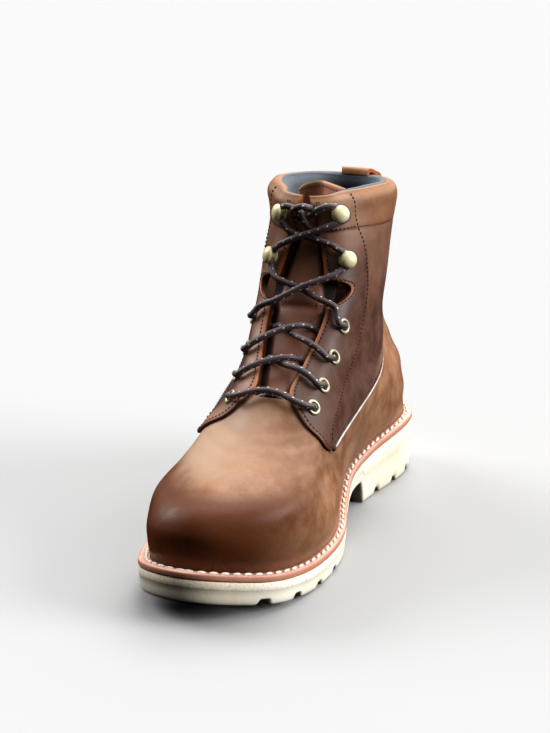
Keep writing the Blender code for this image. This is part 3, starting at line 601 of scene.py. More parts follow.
class Surface:
    """A material under construction, with the steps that the finishes share."""

    def __init__(self, name: str) -> None:
        """Start from a bare Principled shader.

        Args:
            name: Name of the material.
        """
        self.made = bpy.data.materials.new(name)
        self.made.use_nodes = True
        self.tree = self.made.node_tree
        self.shader = self.tree.nodes["Principled BSDF"]
        self.place = add_node(self.tree, "ShaderNodeTexCoord").outputs["Object"]

    def noise(self, size_mm: float, detail: float = 3.0, rough: float = 0.55) -> Any:
        """Cloudy pattern of this size, from 0 to 1."""
        inputs = {"Vector": self.place, "Scale": per_metre(size_mm), "Detail": detail, "Roughness": rough}
        return add_node(self.tree, "ShaderNodeTexNoise", inputs).outputs["Fac"]

    def cells(self, size_mm: float) -> Any:
        """Distance from the edges of a pebbled pattern with cells of this size."""
        inputs = {"Vector": self.place, "Scale": per_metre(size_mm)}
        return add_node(self.tree, "ShaderNodeTexVoronoi", inputs, feature="DISTANCE_TO_EDGE").outputs[0]

    def attribute(self, name: str) -> Any:
        """A value that the mesh carries at each point."""
        return add_node(self.tree, "ShaderNodeAttribute", attribute_name=name).outputs["Fac"]

    def ramp(self, value: Any, low: float, high: float, to_low: float = 0.0, to_high: float = 1.0) -> Any:
        """Stretch a value's range smoothly and hold it at both ends."""
        inputs = {"Value": value, "From Min": low, "From Max": high, "To Min": to_low, "To Max": to_high}
        return add_node(self.tree, "ShaderNodeMapRange", inputs, interpolation_type="SMOOTHSTEP").outputs[0]

    def maths(self, step: Step, first: Any, second: Any = 0.0) -> Any:
        """One arithmetic step."""
        return add_node(self.tree, "ShaderNodeMath", {0: first, 1: second}, operation=step.value).outputs[0]

    def mix(self, share: Any, below: Any, above: Any) -> Any:
        """Lay one colour over another by a share."""
        inputs = {0: share, 6: below, 7: above}
        return add_node(self.tree, "ShaderNodeMix", inputs, data_type="RGBA").outputs[2]

    def bump(self, height: Any, depth_mm: float, strength: float = 1.0, under: Any = None) -> Any:
        """Relief of this depth, on top of an earlier one.

        Args:
            height: Pattern of the relief.
            depth_mm: Its depth.
            strength: Share of it that shows.
            under: Earlier relief.

        Returns:
            The relief.
        """
        inputs = {"Height": height, "Distance": depth_mm * MM, "Strength": strength}
        if under is not None:
            inputs["Normal"] = under
        return add_node(self.tree, "ShaderNodeBump", inputs).outputs["Normal"]

    def set(self, **sockets: Any) -> None:
        """Set or link the shader's own sockets, with spaces written as underscores."""
        wire(self.tree, self.shader, {name.replace("_", " "): value for name, value in sockets.items()})


@dataclass(frozen=True)
class OiledLeather:
    """Full-grain leather dressed with oil and wax, which pulls up paler where it is bent.

    It gives the eye a soft waxy sheen over a fine pebbled grain, with cloudy darker and paler patches;
    pieces also lay painted shade, sheen and light on it.
    The grain is drawn about twice as coarse as on the hide, so that it shows at the render's size.
    """

    name: str
    deep: str
    middle: str
    pale: str
    raw: str
    cut_edge_and_shade: str
    roughness: float
    grain_mm: float = 1.3
    cloud_mm: float = 42.0
    mottle_mm: float = 9.0
    coat: float = 0.03
    burnish_shade_colour: str = "52270F"
    mottled: float = 0.26
    gloss: float = 0.34

    def make(self) -> Any:
        """Build the material.

        Returns:
            The material.
        """
        skin = Surface(self.name)
        cloud = skin.ramp(skin.noise(self.cloud_mm, 4.0), 0.34, 0.66)
        mottle = skin.ramp(skin.noise(self.mottle_mm, 5.0, 0.6), 0.3, 0.75)
        fleck = skin.ramp(skin.noise(2.2, 3.0), 0.35, 0.7)
        colour = skin.mix(cloud, srgb(self.deep), srgb(self.middle))
        colour = skin.mix(skin.maths(Step.MULTIPLY, mottle, self.mottled), colour, srgb(self.pale))
        colour = skin.mix(skin.maths(Step.MULTIPLY, fleck, 0.16), colour, srgb(self.deep))
        # Paler where a piece asks: the leather's own paling where it bends, and painted sheen and light.
        paling_and_painted_light = skin.attribute("paling_and_painted_light")
        colour = skin.mix(skin.maths(Step.MULTIPLY, paling_and_painted_light, 0.75), colour, srgb(self.pale))
        shade = skin.attribute("shade")
        colour = skin.mix(shade, colour, srgb(self.deep))
        colour = skin.mix(skin.attribute("raw"), colour, srgb(self.raw))
        # A burnished toe, darkened further as painted shade.
        colour = skin.mix(skin.attribute("burnish_and_shade"), colour, srgb(self.burnish_shade_colour))
        # Dark cut edges, and painted shadow where a piece runs under others or into a deep recess.
        dark_edge_and_shade = skin.attribute("cut_edge_and_shade")
        colour = skin.mix(dark_edge_and_shade, colour, srgb(self.cut_edge_and_shade))
        pebble = skin.ramp(skin.cells(self.grain_mm), 0.0, 0.35)
        relief = skin.bump(pebble, 0.08, 0.35)
        relief = skin.bump(skin.noise(5.0, 4.0), 0.15, 0.35, relief)
        rough = skin.ramp(mottle, 0.0, 1.0, self.roughness - 0.07, self.roughness + 0.09)
        rough = skin.maths(Step.MAXIMUM, rough, skin.maths(Step.MULTIPLY, dark_edge_and_shade, 0.95))
        skin.set(Base_Color=colour, Roughness=rough, Normal=relief)
        skin.set(Coat_Weight=self.coat, Coat_Roughness=0.35, IOR=1.42, Specular_IOR_Level=self.gloss)
        return skin.made


@dataclass(frozen=True)
class MouldedRubber:
    """Cream expanded rubber, moulded smooth, with a sanded band of specks under the welt."""

    name: str
    cream: str
    tan: str
    speck: str

    def make(self) -> Any:
        """Build the material.

        Returns:
            The material.
        """
        rubber = Surface(self.name)
        clouds = rubber.ramp(rubber.noise(30.0, 4.0), 0.35, 0.7)
        colour = rubber.mix(clouds, srgb(self.cream), srgb(self.tan))
        grain = rubber.ramp(rubber.noise(0.8, 2.0), 0.56, 0.64, 0.0, 0.55)
        sanded = rubber.attribute("sanded")
        colour = rubber.mix(rubber.maths(Step.MULTIPLY, grain, sanded), colour, srgb(self.speck))
        # Towards the speck colour: painted shade at the foot of the side, and a tan tint over the toe's
        # front.
        shade_and_toe_tint = rubber.maths(Step.MULTIPLY, rubber.attribute("shade"), 0.55)
        colour = rubber.mix(shade_and_toe_tint, colour, srgb(self.speck))
        relief = rubber.bump(rubber.noise(1.4, 3.0), 0.16, 0.55)
        rubber.set(Base_Color=colour, Roughness=0.62, Normal=relief, IOR=1.5)
        return rubber.made


@dataclass(frozen=True)
class WeltLeather:
    """Stained sole-leather strip: pale terracotta on top, with the edge left by trimming darkened by
    burnishing and painted shade, and painted shade by the upper.
    """

    name: str
    top: str
    stain: str
    edge: str

    def make(self) -> Any:
        """Build the material.

        Returns:
            The material.
        """
        strip = Surface(self.name)
        cloud = strip.ramp(strip.noise(11.0, 5.0), 0.3, 0.7)
        colour = strip.mix(cloud, srgb(self.top), srgb(self.stain))
        colour = strip.mix(strip.attribute("shade"), colour, srgb(self.edge))
        relief = strip.bump(strip.noise(0.9, 3.0), 0.12, 0.5)
        strip.set(Base_Color=colour, Roughness=0.52, Normal=relief, IOR=1.48)
        return strip.made


@dataclass(frozen=True)
class WovenCloth:
    """Knitted lining cloth over foam: a soft, dull weave of loops across the piece's own pattern."""

    name: str
    dark: str
    light: str
    thread_mm: float

    def make(self) -> Any:
        """Build the material.

        Returns:
            The material.
        """
        cloth = Surface(self.name)
        pattern = add_node(cloth.tree, "ShaderNodeUVMap", uv_map="pattern").outputs["UV"]
        waves = []
        for direction in ("X", "Y"):
            inputs = {"Vector": pattern, "Scale": math.pi / (10 * self.thread_mm), "Distortion": 0.6}
            inputs["Detail Scale"] = 2.0
            node = add_node(cloth.tree, "ShaderNodeTexWave", inputs, bands_direction=direction)
            waves.append(node.outputs["Fac"])
        weave = cloth.maths(Step.MULTIPLY, waves[0], waves[1])
        shade = cloth.ramp(weave, 0.0, 0.8)
        colour = cloth.mix(shade, srgb(self.dark), srgb(self.light))
        cloud = cloth.ramp(cloth.noise(14.0, 4.0), 0.35, 0.7)
        colour = cloth.mix(cloth.maths(Step.MULTIPLY, cloud, 0.35), colour, srgb(self.dark))
        relief = cloth.bump(weave, 0.3, 0.7)
        cloth.set(Base_Color=colour, Roughness=0.85, Normal=relief)
        cloth.set(Sheen_Weight=0.25, Sheen_Roughness=0.5, IOR=1.45)
        return cloth.made


@dataclass(frozen=True)
class BraidedCord:
    """Round braided lace of waxed yarn with a dull shine, and small pale flecks that wind round it."""

    name: str
    dark: str
    light: str
    fleck: str
    yarn_mm: float = 0.8
    fleck_pitch_mm: float = 5.2
    around_mm: float = 11.44

    def make(self) -> Any:
        """Build the material.

        Returns:
            The material.
        """
        cord = Surface(self.name)
        pattern = add_node(cord.tree, "ShaderNodeUVMap", uv_map="pattern").outputs["UV"]
        split = add_node(cord.tree, "ShaderNodeSeparateXYZ", {"Vector": pattern})
        around, along = split.outputs["X"], split.outputs["Y"]
        turns = 6.0 / self.around_mm
        lean = cord.maths(Step.MULTIPLY, along, 0.5 / self.yarn_mm)
        strands = []
        for way in (Step.ADD, Step.SUBTRACT):
            phase = cord.maths(way, cord.maths(Step.MULTIPLY, around, turns), lean)
            strands.append(cord.maths(Step.SINE, cord.maths(Step.MULTIPLY, phase, 2 * math.pi)))
        braid = cord.ramp(cord.maths(Step.MULTIPLY, strands[0], strands[1]), -0.6, 0.9)
        colour = cord.mix(braid, srgb(self.dark), srgb(self.light))
        wound = cord.maths(Step.MULTIPLY, along, 1.0 / self.fleck_pitch_mm)
        ring = cord.maths(Step.ADD, wound, cord.maths(Step.MULTIPLY, around, 1.0 / self.around_mm))
        crest = cord.maths(Step.ABSOLUTE, cord.maths(Step.SUBTRACT, cord.maths(Step.FRACT, ring), 0.5))
        turn = cord.maths(Step.MULTIPLY, around, 3.0 / self.around_mm)
        spot = cord.maths(Step.ABSOLUTE, cord.maths(Step.SUBTRACT, cord.maths(Step.FRACT, turn), 0.5))
        mark = cord.maths(Step.MULTIPLY, cord.ramp(crest, 0.1, 0.06), cord.ramp(spot, 0.13, 0.08))
        colour = cord.mix(mark, colour, srgb(self.fleck))
        relief = cord.bump(braid, 0.2, 0.5)
        cord.set(Base_Color=colour, Roughness=0.48, Normal=relief)
        cord.set(Sheen_Weight=0.04, Sheen_Roughness=0.45, IOR=1.5)
        return cord.made


@dataclass(frozen=True)
class SewingThread:
    """Waxed sewing thread, matt, with a little variation from stitch to stitch."""

    name: str
    dark: str
    light: str

    def make(self) -> Any:
        """Build the material.

        Returns:
            The material.
        """
        thread = Surface(self.name)
        clouds = thread.ramp(thread.noise(6.0, 2.0), 0.3, 0.7)
        colour = thread.mix(clouds, srgb(self.dark), srgb(self.light))
        relief = thread.bump(thread.noise(0.5, 2.0), 0.1, 0.6)
        thread.set(Base_Color=colour, Roughness=0.7, Normal=relief, IOR=1.46)
        return thread.made


@dataclass(frozen=True)
class PaleBrass:
    """Pressed brass with a pale lacquer on it: satin, and the thicker the lacquer the less like metal."""

    name: str
    bright: str
    dull: str
    metal_share: float

    def make(self) -> Any:
        """Build the material.

        Returns:
            The material.
        """
        metal = Surface(self.name)
        cloud = metal.ramp(metal.noise(2.5, 4.0), 0.35, 0.7)
        colour = metal.mix(cloud, srgb(self.bright), srgb(self.dull))
        rough = metal.ramp(cloud, 0.0, 1.0, 0.4, 0.55)
        relief = metal.bump(metal.noise(0.8, 2.0), 0.04, 0.4)
        metal.set(Base_Color=colour, Metallic=self.metal_share, Roughness=rough, Normal=relief)
        return metal.made


@dataclass(frozen=True)
class Looks:
    """Every finish of the boot, made once."""

    vamp: Any
    quarter: Any
    collar: Any
    loop: Any
    tongue: Any
    sole: Any
    welt: Any
    insole: Any
    lining: Any
    piping: Any
    lace: Any
    seam: Any
    welt_thread: Any
    brass: Any
    eyelet: Any

    @classmethod
    def mixed(cls) -> "Looks":
        """Mix the finishes of the photo's boot.

        Returns:
            The finishes.
        """
        raw, cut_edge_and_shade = "A05A2F", "381B10"
        leather = OiledLeather
        # Each leather's pale colour serves both its paler patches and the painted sheen and light laid on
        # it.
        finishes = dict(
            vamp=leather("oiled_leather_vamp", "70462D", "926446", "B99A80", raw, cut_edge_and_shade, 0.43, gloss=0.14),
            quarter=leather(
                "oiled_leather_quarter", "3E2117", "47281C", "A2745A", raw, cut_edge_and_shade, 0.5, mottled=0.12
            ),
            collar=leather("oiled_leather_collar", "6A432C", "83583D", "B08058", raw, cut_edge_and_shade, 0.54),
            loop=leather("oiled_leather_loop", "8A5836", "A26C46", "BC8860", raw, cut_edge_and_shade, 0.5),
            # The tongue's near-black cut colour is painted shadow where it runs under the facings.
            tongue=leather("oiled_leather_tongue", "70412F", "8E5A44", "A87254", "C49A70", "140B08", 0.5),
            sole=MouldedRubber("moulded_rubber_cream", "FBF6E6", "F5EACF", "A88A5C"),
            welt=WeltLeather("sole_leather_welt", "EDC0AA", "DFA68C", "AE6850"),
            insole=WovenCloth("insole_cloth", "4A4038", "6B5D50", 1.2),
            lining=WovenCloth("lining_cloth", "38424C", "5A6772", 1.0),
            piping=SewingThread("piping_cord", "B2AEA5", "DEDAD0"),
            lace=BraidedCord("braided_lace", "241A1E", "5A474B", "DCC8B4"),
            seam=SewingThread("seam_thread", "140A07", "2A1710"),
            welt_thread=SewingThread("welt_thread", "DDD8CA", "F4F0E6"),
            brass=PaleBrass("pale_brass", "EBE3B4", "D6CC94", 0.15),
            eyelet=PaleBrass("eyelet_brass", "B4AE90", "928C6C", 0.6),
        )
        return cls(**{piece: finish.make() for piece, finish in finishes.items()})


@dataclass
class Draped:
    """Where the points of a flat grid go, in metres, and the values that they carry."""

    points: Array
    outward: Optional[Array] = None
    values: dict[str, Array] = field(default_factory=dict)


Placer = Callable[[Array, Array], Draped]
Dropper = Callable[[Array, Array], Array]


def to_object(name: str, shape: Any, sharp_degrees: float = 55.0) -> Piece:
    """Finish a bmesh as an object at the origin.

    Args:
        name: Name of the piece.
        shape: The bmesh, which is freed.
        sharp_degrees: Angle above which an edge is left sharp.

    Returns:
        The object, linked to the scene.
    """
    mesh = bpy.data.meshes.new(name)
    shape.to_mesh(mesh)
    shape.free()
    mesh.shade_smooth()
    mesh.set_sharp_from_angle(angle=math.radians(sharp_degrees))
    made = bpy.data.objects.new(name, mesh)
    bpy.context.scene.collection.objects.link(made)
    return made


def drape(
    name: str,
    columns: int,
    rows: int,
    place: Placer,
    pattern_mm: tuple[float, float] = (1.0, 1.0),
    thick: float = 0.0,
    weld: bool = False,
    drop: Optional[Dropper] = None,
) -> Piece:
    """Lay a flat grid over the boot.

    Args:
        name: Name of the piece.
        columns: Cells across the grid.
        rows: Cells along it.
        place: Gives the points from shares across and along.
        pattern_mm: Size of the whole grid on its pattern map.
        thick: Wall thickness in millimetres, added inwards.
        weld: Whether edges that meet are joined.
        drop: Says from points and shares which cells are taken out.

    Returns:
        The piece's object.
    """
    shape = bmesh.new()
    pattern = shape.loops.layers.uv.new("pattern")
    bmesh.ops.create_grid(shape, x_segments=columns, y_segments=rows, size=0.5)
    flat = np.array([vert.co[:2] for vert in shape.verts])
    flat = (flat - flat.min(axis=0)) / np.ptp(flat, axis=0)
    order = np.lexsort((flat[:, 0].round(6), flat[:, 1].round(6)))
    grid = flat[order].reshape(rows + 1, columns + 1, 2)
    placed = place(grid[..., 0], grid[..., 1])
    spots = np.empty((len(order), 3))
    spots[order] = placed.points.reshape(-1, 3)
    for face in shape.faces:
        for loop in face.loops:
            loop[pattern].uv = flat[loop.vert.index] * pattern_mm
    for key, values in placed.values.items():
        layer = shape.verts.layers.float.new(key)
        spread = np.empty(len(order))
        spread[order] = np.broadcast_to(values, grid.shape[:2]).ravel()
        for vert, value in zip(shape.verts, spread):
            vert[layer] = value
    for vert, spot in zip(shape.verts, spots):
        vert.co = spot
    shape.normal_update()
    if placed.outward is not None:
        outward = np.empty_like(spots)
        outward[order] = placed.outward.reshape(-1, 3)
        facing = sum(face.normal.dot(Vector(outward[face.verts[0].index])) for face in shape.faces)
        if facing < 0:
            bmesh.ops.reverse_faces(shape, faces=shape.faces)
    if drop is not None:
        corners = np.array([[vert.index for vert in face.verts] for face in shape.faces])
        gone = drop(spots[corners].mean(axis=1), flat[corners].mean(axis=1))
        bmesh.ops.delete(shape, geom=[f for f, out in zip(shape.faces, gone) if out], context="FACES")
    if weld:
        bmesh.ops.remove_doubles(shape, verts=shape.verts, dist=WELD)
        bmesh.ops.dissolve_degenerate(shape, edges=shape.edges, dist=SLIVER)
    if placed.outward is None:
        bmesh.ops.recalc_face_normals(shape, faces=shape.faces)
    if thick > 0:
        bmesh.ops.solidify(shape, geom=shape.faces[:], thickness=thick * MM)
    return to_object(name, shape)


def tube(
    name: str,
    path: Array,
    radius: float,
    sides: int,
    lean: Sequence[float] = (0.0, -0.6, 0.8),
) -> Piece:
    """Round cord with rounded ends along a path.

    Args:
        name: Name of the piece.
        path: Points in metres, evenly spaced.
        radius: Radius in millimetres.
        sides: Sides of its section.
        lean: A direction that the path never runs along.

    Returns:
        The cord's object, with its pattern map in millimetres round and along it.
    """
    along = unit(np.gradient(path, axis=0))
    side = unit(np.cross(along, np.array(lean)))
    other = np.cross(along, side)
    run = run_along(path) / MM
    from_end = np.minimum(run, run[-1] - run)
    round_off = np.sqrt(np.clip(1 - (1 - np.clip(from_end / radius, 0.0, 1.0)) ** 2, 0.02, 1.0))

    def place(around: Array, share: Array) -> Draped:
        """Wrap the grid round the path.

        Args:
            around: Shares round the tube.
            share: Shares along it.

        Returns:
            The grid in place.
        """
        row = nearest(share, path)
        turn = around * 2 * math.pi
        out = np.cos(turn)[..., None] * side[row] + np.sin(turn)[..., None] * other[row]
        return Draped(path[row] + out * (radius * MM * round_off[row])[..., None], out)

    size = (2 * math.pi * radius, run[-1])
    made = drape(name, sides, len(path) - 1, place, size, weld=True)
    shape = bmesh.new()
    shape.from_mesh(made.data)
    bmesh.ops.holes_fill(shape, edges=[e for e in shape.edges if e.is_boundary], sides=0)
    bmesh.ops.recalc_face_normals(shape, faces=shape.faces)
    shape.to_mesh(made.data)
    shape.free()
    made.data.shade_smooth()
    return made


def resample(path: Array, step: float) -> Array:
    """Points along a path at an even step in metres."""
    run = run_along(path)
    return read_along(run, path, np.linspace(0.0, run[-1], max(int(round(run[-1] / step)), 2) + 1))


@dataclass(frozen=True)
class Stitching:
    """A kind of stitch: its pitch, thread and how deep it sits."""

    pitch: float
    length: float
    radius: float
    turn_degrees: float = 0.0
    segments: int = 6

    def sew(self, name: str, runs: Sequence[Run]) -> Piece:
        """Sew along paths.

        Args:
            name: Name of the piece.
            runs: Pairs of path points in metres and outward directions there.

        Returns:
            One object with every stitch.
        """
        one = bmesh.new()
        bmesh.ops.create_uvsphere(one, u_segments=self.segments, v_segments=self.segments - 2, radius=1.0)
        corners = np.array([vert.co for vert in one.verts])
        faces = [[vert.index for vert in face.verts] for face in one.faces]
        one.free()
        turn = math.radians(self.turn_degrees)
        half = np.array([self.length / 2, self.radius, self.radius]) * MM
        points: list[Array] = []
        for path, outward in runs:
            run = run_along(path)
            middles = np.arange(self.pitch / 2, run[-1] / MM, self.pitch) * MM
            reach = self.length * MM / 2
            along = unit(read_along(run, path, middles + reach) - read_along(run, path, middles - reach))
            across = unit(np.cross(read_along(run, outward, middles), along))
            lead = along * math.cos(turn) + across * math.sin(turn)
            side = across * math.cos(turn) - along * math.sin(turn)
            axes = np.stack([lead, side, np.cross(lead, side)], axis=1)
            points += list(read_along(run, path, middles)[:, None] + (corners * half) @ axes)
        joined = [[c + n * len(corners) for c in face] for n in range(len(points)) for face in faces]
        mesh = bpy.data.meshes.new(name)
        mesh.from_pydata(np.concatenate(points).tolist(), [], joined)
        mesh.shade_smooth()
        made = bpy.data.objects.new(name, mesh)
        bpy.context.scene.collection.objects.link(made)
        return made


def dress(made: Piece, finish: Any, slot: str, *nodes: str) -> None:
    """Give a piece its finish and its place in the frame.

    Args:
        made: The piece.
        finish: Its material.
        slot: The record's material slot; not used.
        *nodes: Solids that the piece stands for.
    """
    made.data.materials.append(finish)
    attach(made, BODY)
    if nodes:
        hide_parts(*nodes)
    LOG.info("%s: %d faces", made.name, len(made.data.polygons))


@dataclass
class SoleUnit:
    """Moulded sole with its lugs, the stitched welt on it, and the insole."""

    last: Last
    looks: Looks
    welt_thick: float = 4.0
    wall: float = 2.2
    toe_spring: float = 12.8
    forefoot_front: float = -70.0
    arch_front: float = -30.0
    arch_top: float = 40.0
    arch_height: float = 14.0
    breast: float = 50.0
    breast_slant: float = 5.0
    lug_depth: float = 3.4
    lug_width: float = 6.5
    lug_reach: float = 23.0
    lug_share: float = 0.35
    sanded_from: float = 0.63
    foot_share: float = 0.06
    toe_tint_from: float = -112.0
    toe_tint_run: float = 30.0
    groove_depth: float = 1.6
    lugs: tuple[float, ...] = (-124.0, -101.0, -78.0, -55.0, 71.0, 93.0, 115.0, 136.0)
    side: Profile = rows_of(
        ProfileRow, (1, 0.5), (0.97, 0.2), (0.7, 0.2), (0.665, 0.3), (0.64, 0.5), (0.4, 0.65),
        (0.3, 0.75), (0.22, 0.85), (0.14, 1.05), (0.07, 1.35), (0.02, 1.9), (0, 2.8),
    )
    stations: int = 900
    stitch_from_upper: float = 1.7
    stitch: Stitching = Stitching(6.4, 5.4, 0.85, 8.0, 8)

    def bare_tread(self, y: Array) -> Array:
        """Height of the tread's face, with its arch and breast.

        Args:
            y: Places along the sole.

        Returns:
            Heights in millimetres.
        """
        ahead = np.clip(self.forefoot_front - y, 0.0, None)
        spring = self.toe_spring * (ahead / (self.forefoot_front + self.last.sole_length / 2)) ** 2
        arch = self.arch_height * smooth_step((y - self.arch_front) / (self.arch_top - self.arch_front))
        heel = smooth_step((y - self.breast + self.breast_slant / 2) / self.breast_slant)
        return spring + arch * (1 - heel)

    def tread(self, y: Array, from_edge: Array) -> Array:
        """Height of the tread's face, with its lug notches and grooves.

        Args:
            y: Places along the sole.
            from_edge: Distances from the sole's edge.

        Returns:
            Heights in millimetres.
        """
        height = self.bare_tread(y)
        reach = smooth_step((self.lug_reach - from_edge) / 3.0)
        depth = self.groove_depth + (self.lug_depth - self.groove_depth) * reach
        for lug in self.lugs:
            across = np.abs(y - lug) / (self.lug_width / 2)
            height = height + depth * smooth_step((1.3 - across) / 0.8)
        return height

    def outsole(self) -> None:
        """Sole in one skin: top face, stepped side and tread, meeting along its middle line."""
        top = [1.0, 0.5, 0.0]
        under = [0.02, 0.06, 0.12, 0.2, 0.3, 0.4, 0.5, 0.6, 0.8, 1.0]
        shares = [1.0] * len(top) + [row.at for row in self.side[1:]] + [0.0] * len(under)
        insets = [self.side[0].value] * len(top) + [row.value for row in self.side[1:]]
        insets += [self.side[-1].value] * len(under)
        inwards = top + [0.0] * (len(self.side) - 1) + under
        table = np.array([shares, insets, inwards])

        def place(around: Array, level: Array) -> Draped:
            """Set each station of the outline at each level.

            Args:
                around: Shares round the grid.
                level: Shares of its levels.

            Returns:
                The grid in place.
            """
            angle = around * 2 * math.pi
            share, inset, inward = table[:, nearest(level, shares)]
            plan = self.last.sole_outline(angle, inset)
            middle = self.last.sole_spine(angle, inset)
            from_edge = np.linalg.norm(plan - middle, axis=-1) * inward
            from_edge = np.where(inward < 1.0, from_edge, self.lug_reach)
            plan = plan + (middle - plan) * inward[..., None]
            low = self.tread(plan[..., 1], from_edge)
            high = self.last.feather_height(plan[..., 1]) - self.welt_thick
            bare = self.bare_tread(plan[..., 1])
            z = bare + (high - bare) * share + (low - bare) * smooth_step(1 - share / self.lug_share)
            points = self.last.raised(plan, z)
            sanded = ease(share, self.sanded_from, 0.05) * (inward == 0)
            # Darker at the foot of the side as painted shade by the floor, and tinted tan over the toe's
            # front.
            shade = smooth_step((self.foot_share - share) / self.foot_share) * 0.35
            shade = shade + 0.5 * smooth_step((self.toe_tint_from - plan[..., 1]) / self.toe_tint_run)
            return Draped(points, None, {"sanded": sanded, "shade": shade})

        made = drape("sole", self.stations, len(shares) - 1, place, weld=True)
        dress(made, self.looks.sole, "crepe_rubber", "outsole")

    def welt_section(self, angle: Array) -> tuple[Array, Array]:
        """Insets and heights round the welt's section, for each station.

        Args:
            angle: Angles in radians.

        Returns:
            Insets by row and station, and the heights of the rows.
        """
        width = self.last.welt_width(angle)
        groove = width - self.stitch_from_upper
        inner = width + self.wall + 1.2
        thick = self.welt_thick - self.last.gap
        insets = [inner, width, groove + 1.3, groove + 0.7, groove, groove - 0.7, groove - 1.3]
        heights = [0.0, 0.0, 0.0, -0.3, -0.55, -0.3, 0.0]
        insets += [1.2 + 0 * width, 0.5 + 0 * width, 0.1 + 0 * width, 0 * width]
        heights += [0.0, -0.12, -0.5, -1.2]
        insets += [0 * width, 0.15 + 0 * width, 0.7 + 0 * width, inner, inner]
        heights += [0.9 - thick, 0.3 - thick, -thick, -thick, 0.0]
        return np.stack(insets), np.array(heights)

    def welt(self) -> None:
        """Strip with a rounded edge, darkened by burnishing and painted shade, and a sunk line for its
        stitches.
        """
        angle = np.linspace(0.0, 2 * math.pi, self.stations + 1)
        insets, heights = self.welt_section(angle)

        def place(around: Array, level: Array) -> Draped:
            """Set each station's section on the feather line.

            Args:
                around: Shares round the grid.
                level: Shares of its levels.

            Returns:
                The grid in place.
            """
            row = nearest(level, heights)
            column = nearest(around, angle)
            inset = insets[row, column]
            plan = self.last.sole_outline(angle[column], inset)
            z = self.last.feather_height(plan[..., 1]) + heights[row]
            points = self.last.raised(plan, z)
            # The edge is burnished dark, with painted shade down its side; painted shade also lies in the
            # crevice by the upper.
            burnish_and_shade = smooth_step((1.0 - inset) / 0.9) * 0.75
            crevice_shade = smooth_step((inset - self.last.welt_width(angle[column]) + 0.6) / 0.8)
            return Draped(points, None, {"shade": np.maximum(burnish_and_shade, crevice_shade)})

        made = drape("welt_strip", self.stations, len(heights) - 1, place, weld=True)
        dress(made, self.looks.welt, "welt_leather", "welt")

    def welt_stitches(self) -> None:
        """Chunky pale stitches in the welt's sunk line."""
        angle = np.linspace(0.0, 2 * math.pi, self.stations + 1)
        plan = self.last.sole_outline(angle, self.last.welt_width(angle) - self.stitch_from_upper)
        z = self.last.feather_height(plan[:, 1]) - 0.1
        path = self.last.raised(plan, z)
        up = np.tile([0.0, 0.0, 1.0], (len(path), 1))
        dress(self.stitch.sew("welt_stitches", [(path, up)]), self.looks.welt_thread, "piping_cord")

    def insole(self) -> None:
        """Footbed of cloth over foam, slightly dished, set down inside the welt."""
        gap, under = self.last.gap, self.last.gap - self.welt_thick
        rows = np.array([
            (1.0, 2.2, 4.0), (0.7, 2.2, 4.0), (0.35, 2.2, 4.1), (0.1, 2.2, 4.3), (0.02, 2.2, 4.2),
            (0.0, 2.2, 3.6), (0.0, 2.2, gap), (0.0, 2.8, gap), (0.0, 2.8, under), (1.0, 2.8, under),
        ])

        def place(around: Array, level: Array) -> Draped:
            """Rows from the middle line out to the wall, down its side and back underneath.

            Args:
                around: Shares round the grid.
                level: Shares of its levels.

            Returns:
                The grid in place.
            """
            angle = around * 2 * math.pi
            inward, clear, lift = rows[nearest(level, rows)].transpose(2, 0, 1)
            inset = self.last.welt_width(angle) + self.wall + clear
            plan = self.last.sole_outline(angle, inset)
            plan = plan + (self.last.sole_spine(angle, inset) - plan) * inward[..., None]
            z = self.last.feather_height(plan[..., 1]) + lift
            return Draped(self.last.raised(plan, z))

        made = drape("footbed", 240, len(rows) - 1, place, (700.0, 90.0), weld=True)
        dress(made, self.looks.insole, "insole_board", "insole")

    def build(self) -> None:
        """Build every piece of the sole."""
        self.outsole()
        self.welt()
        self.welt_stitches()
        self.insole()


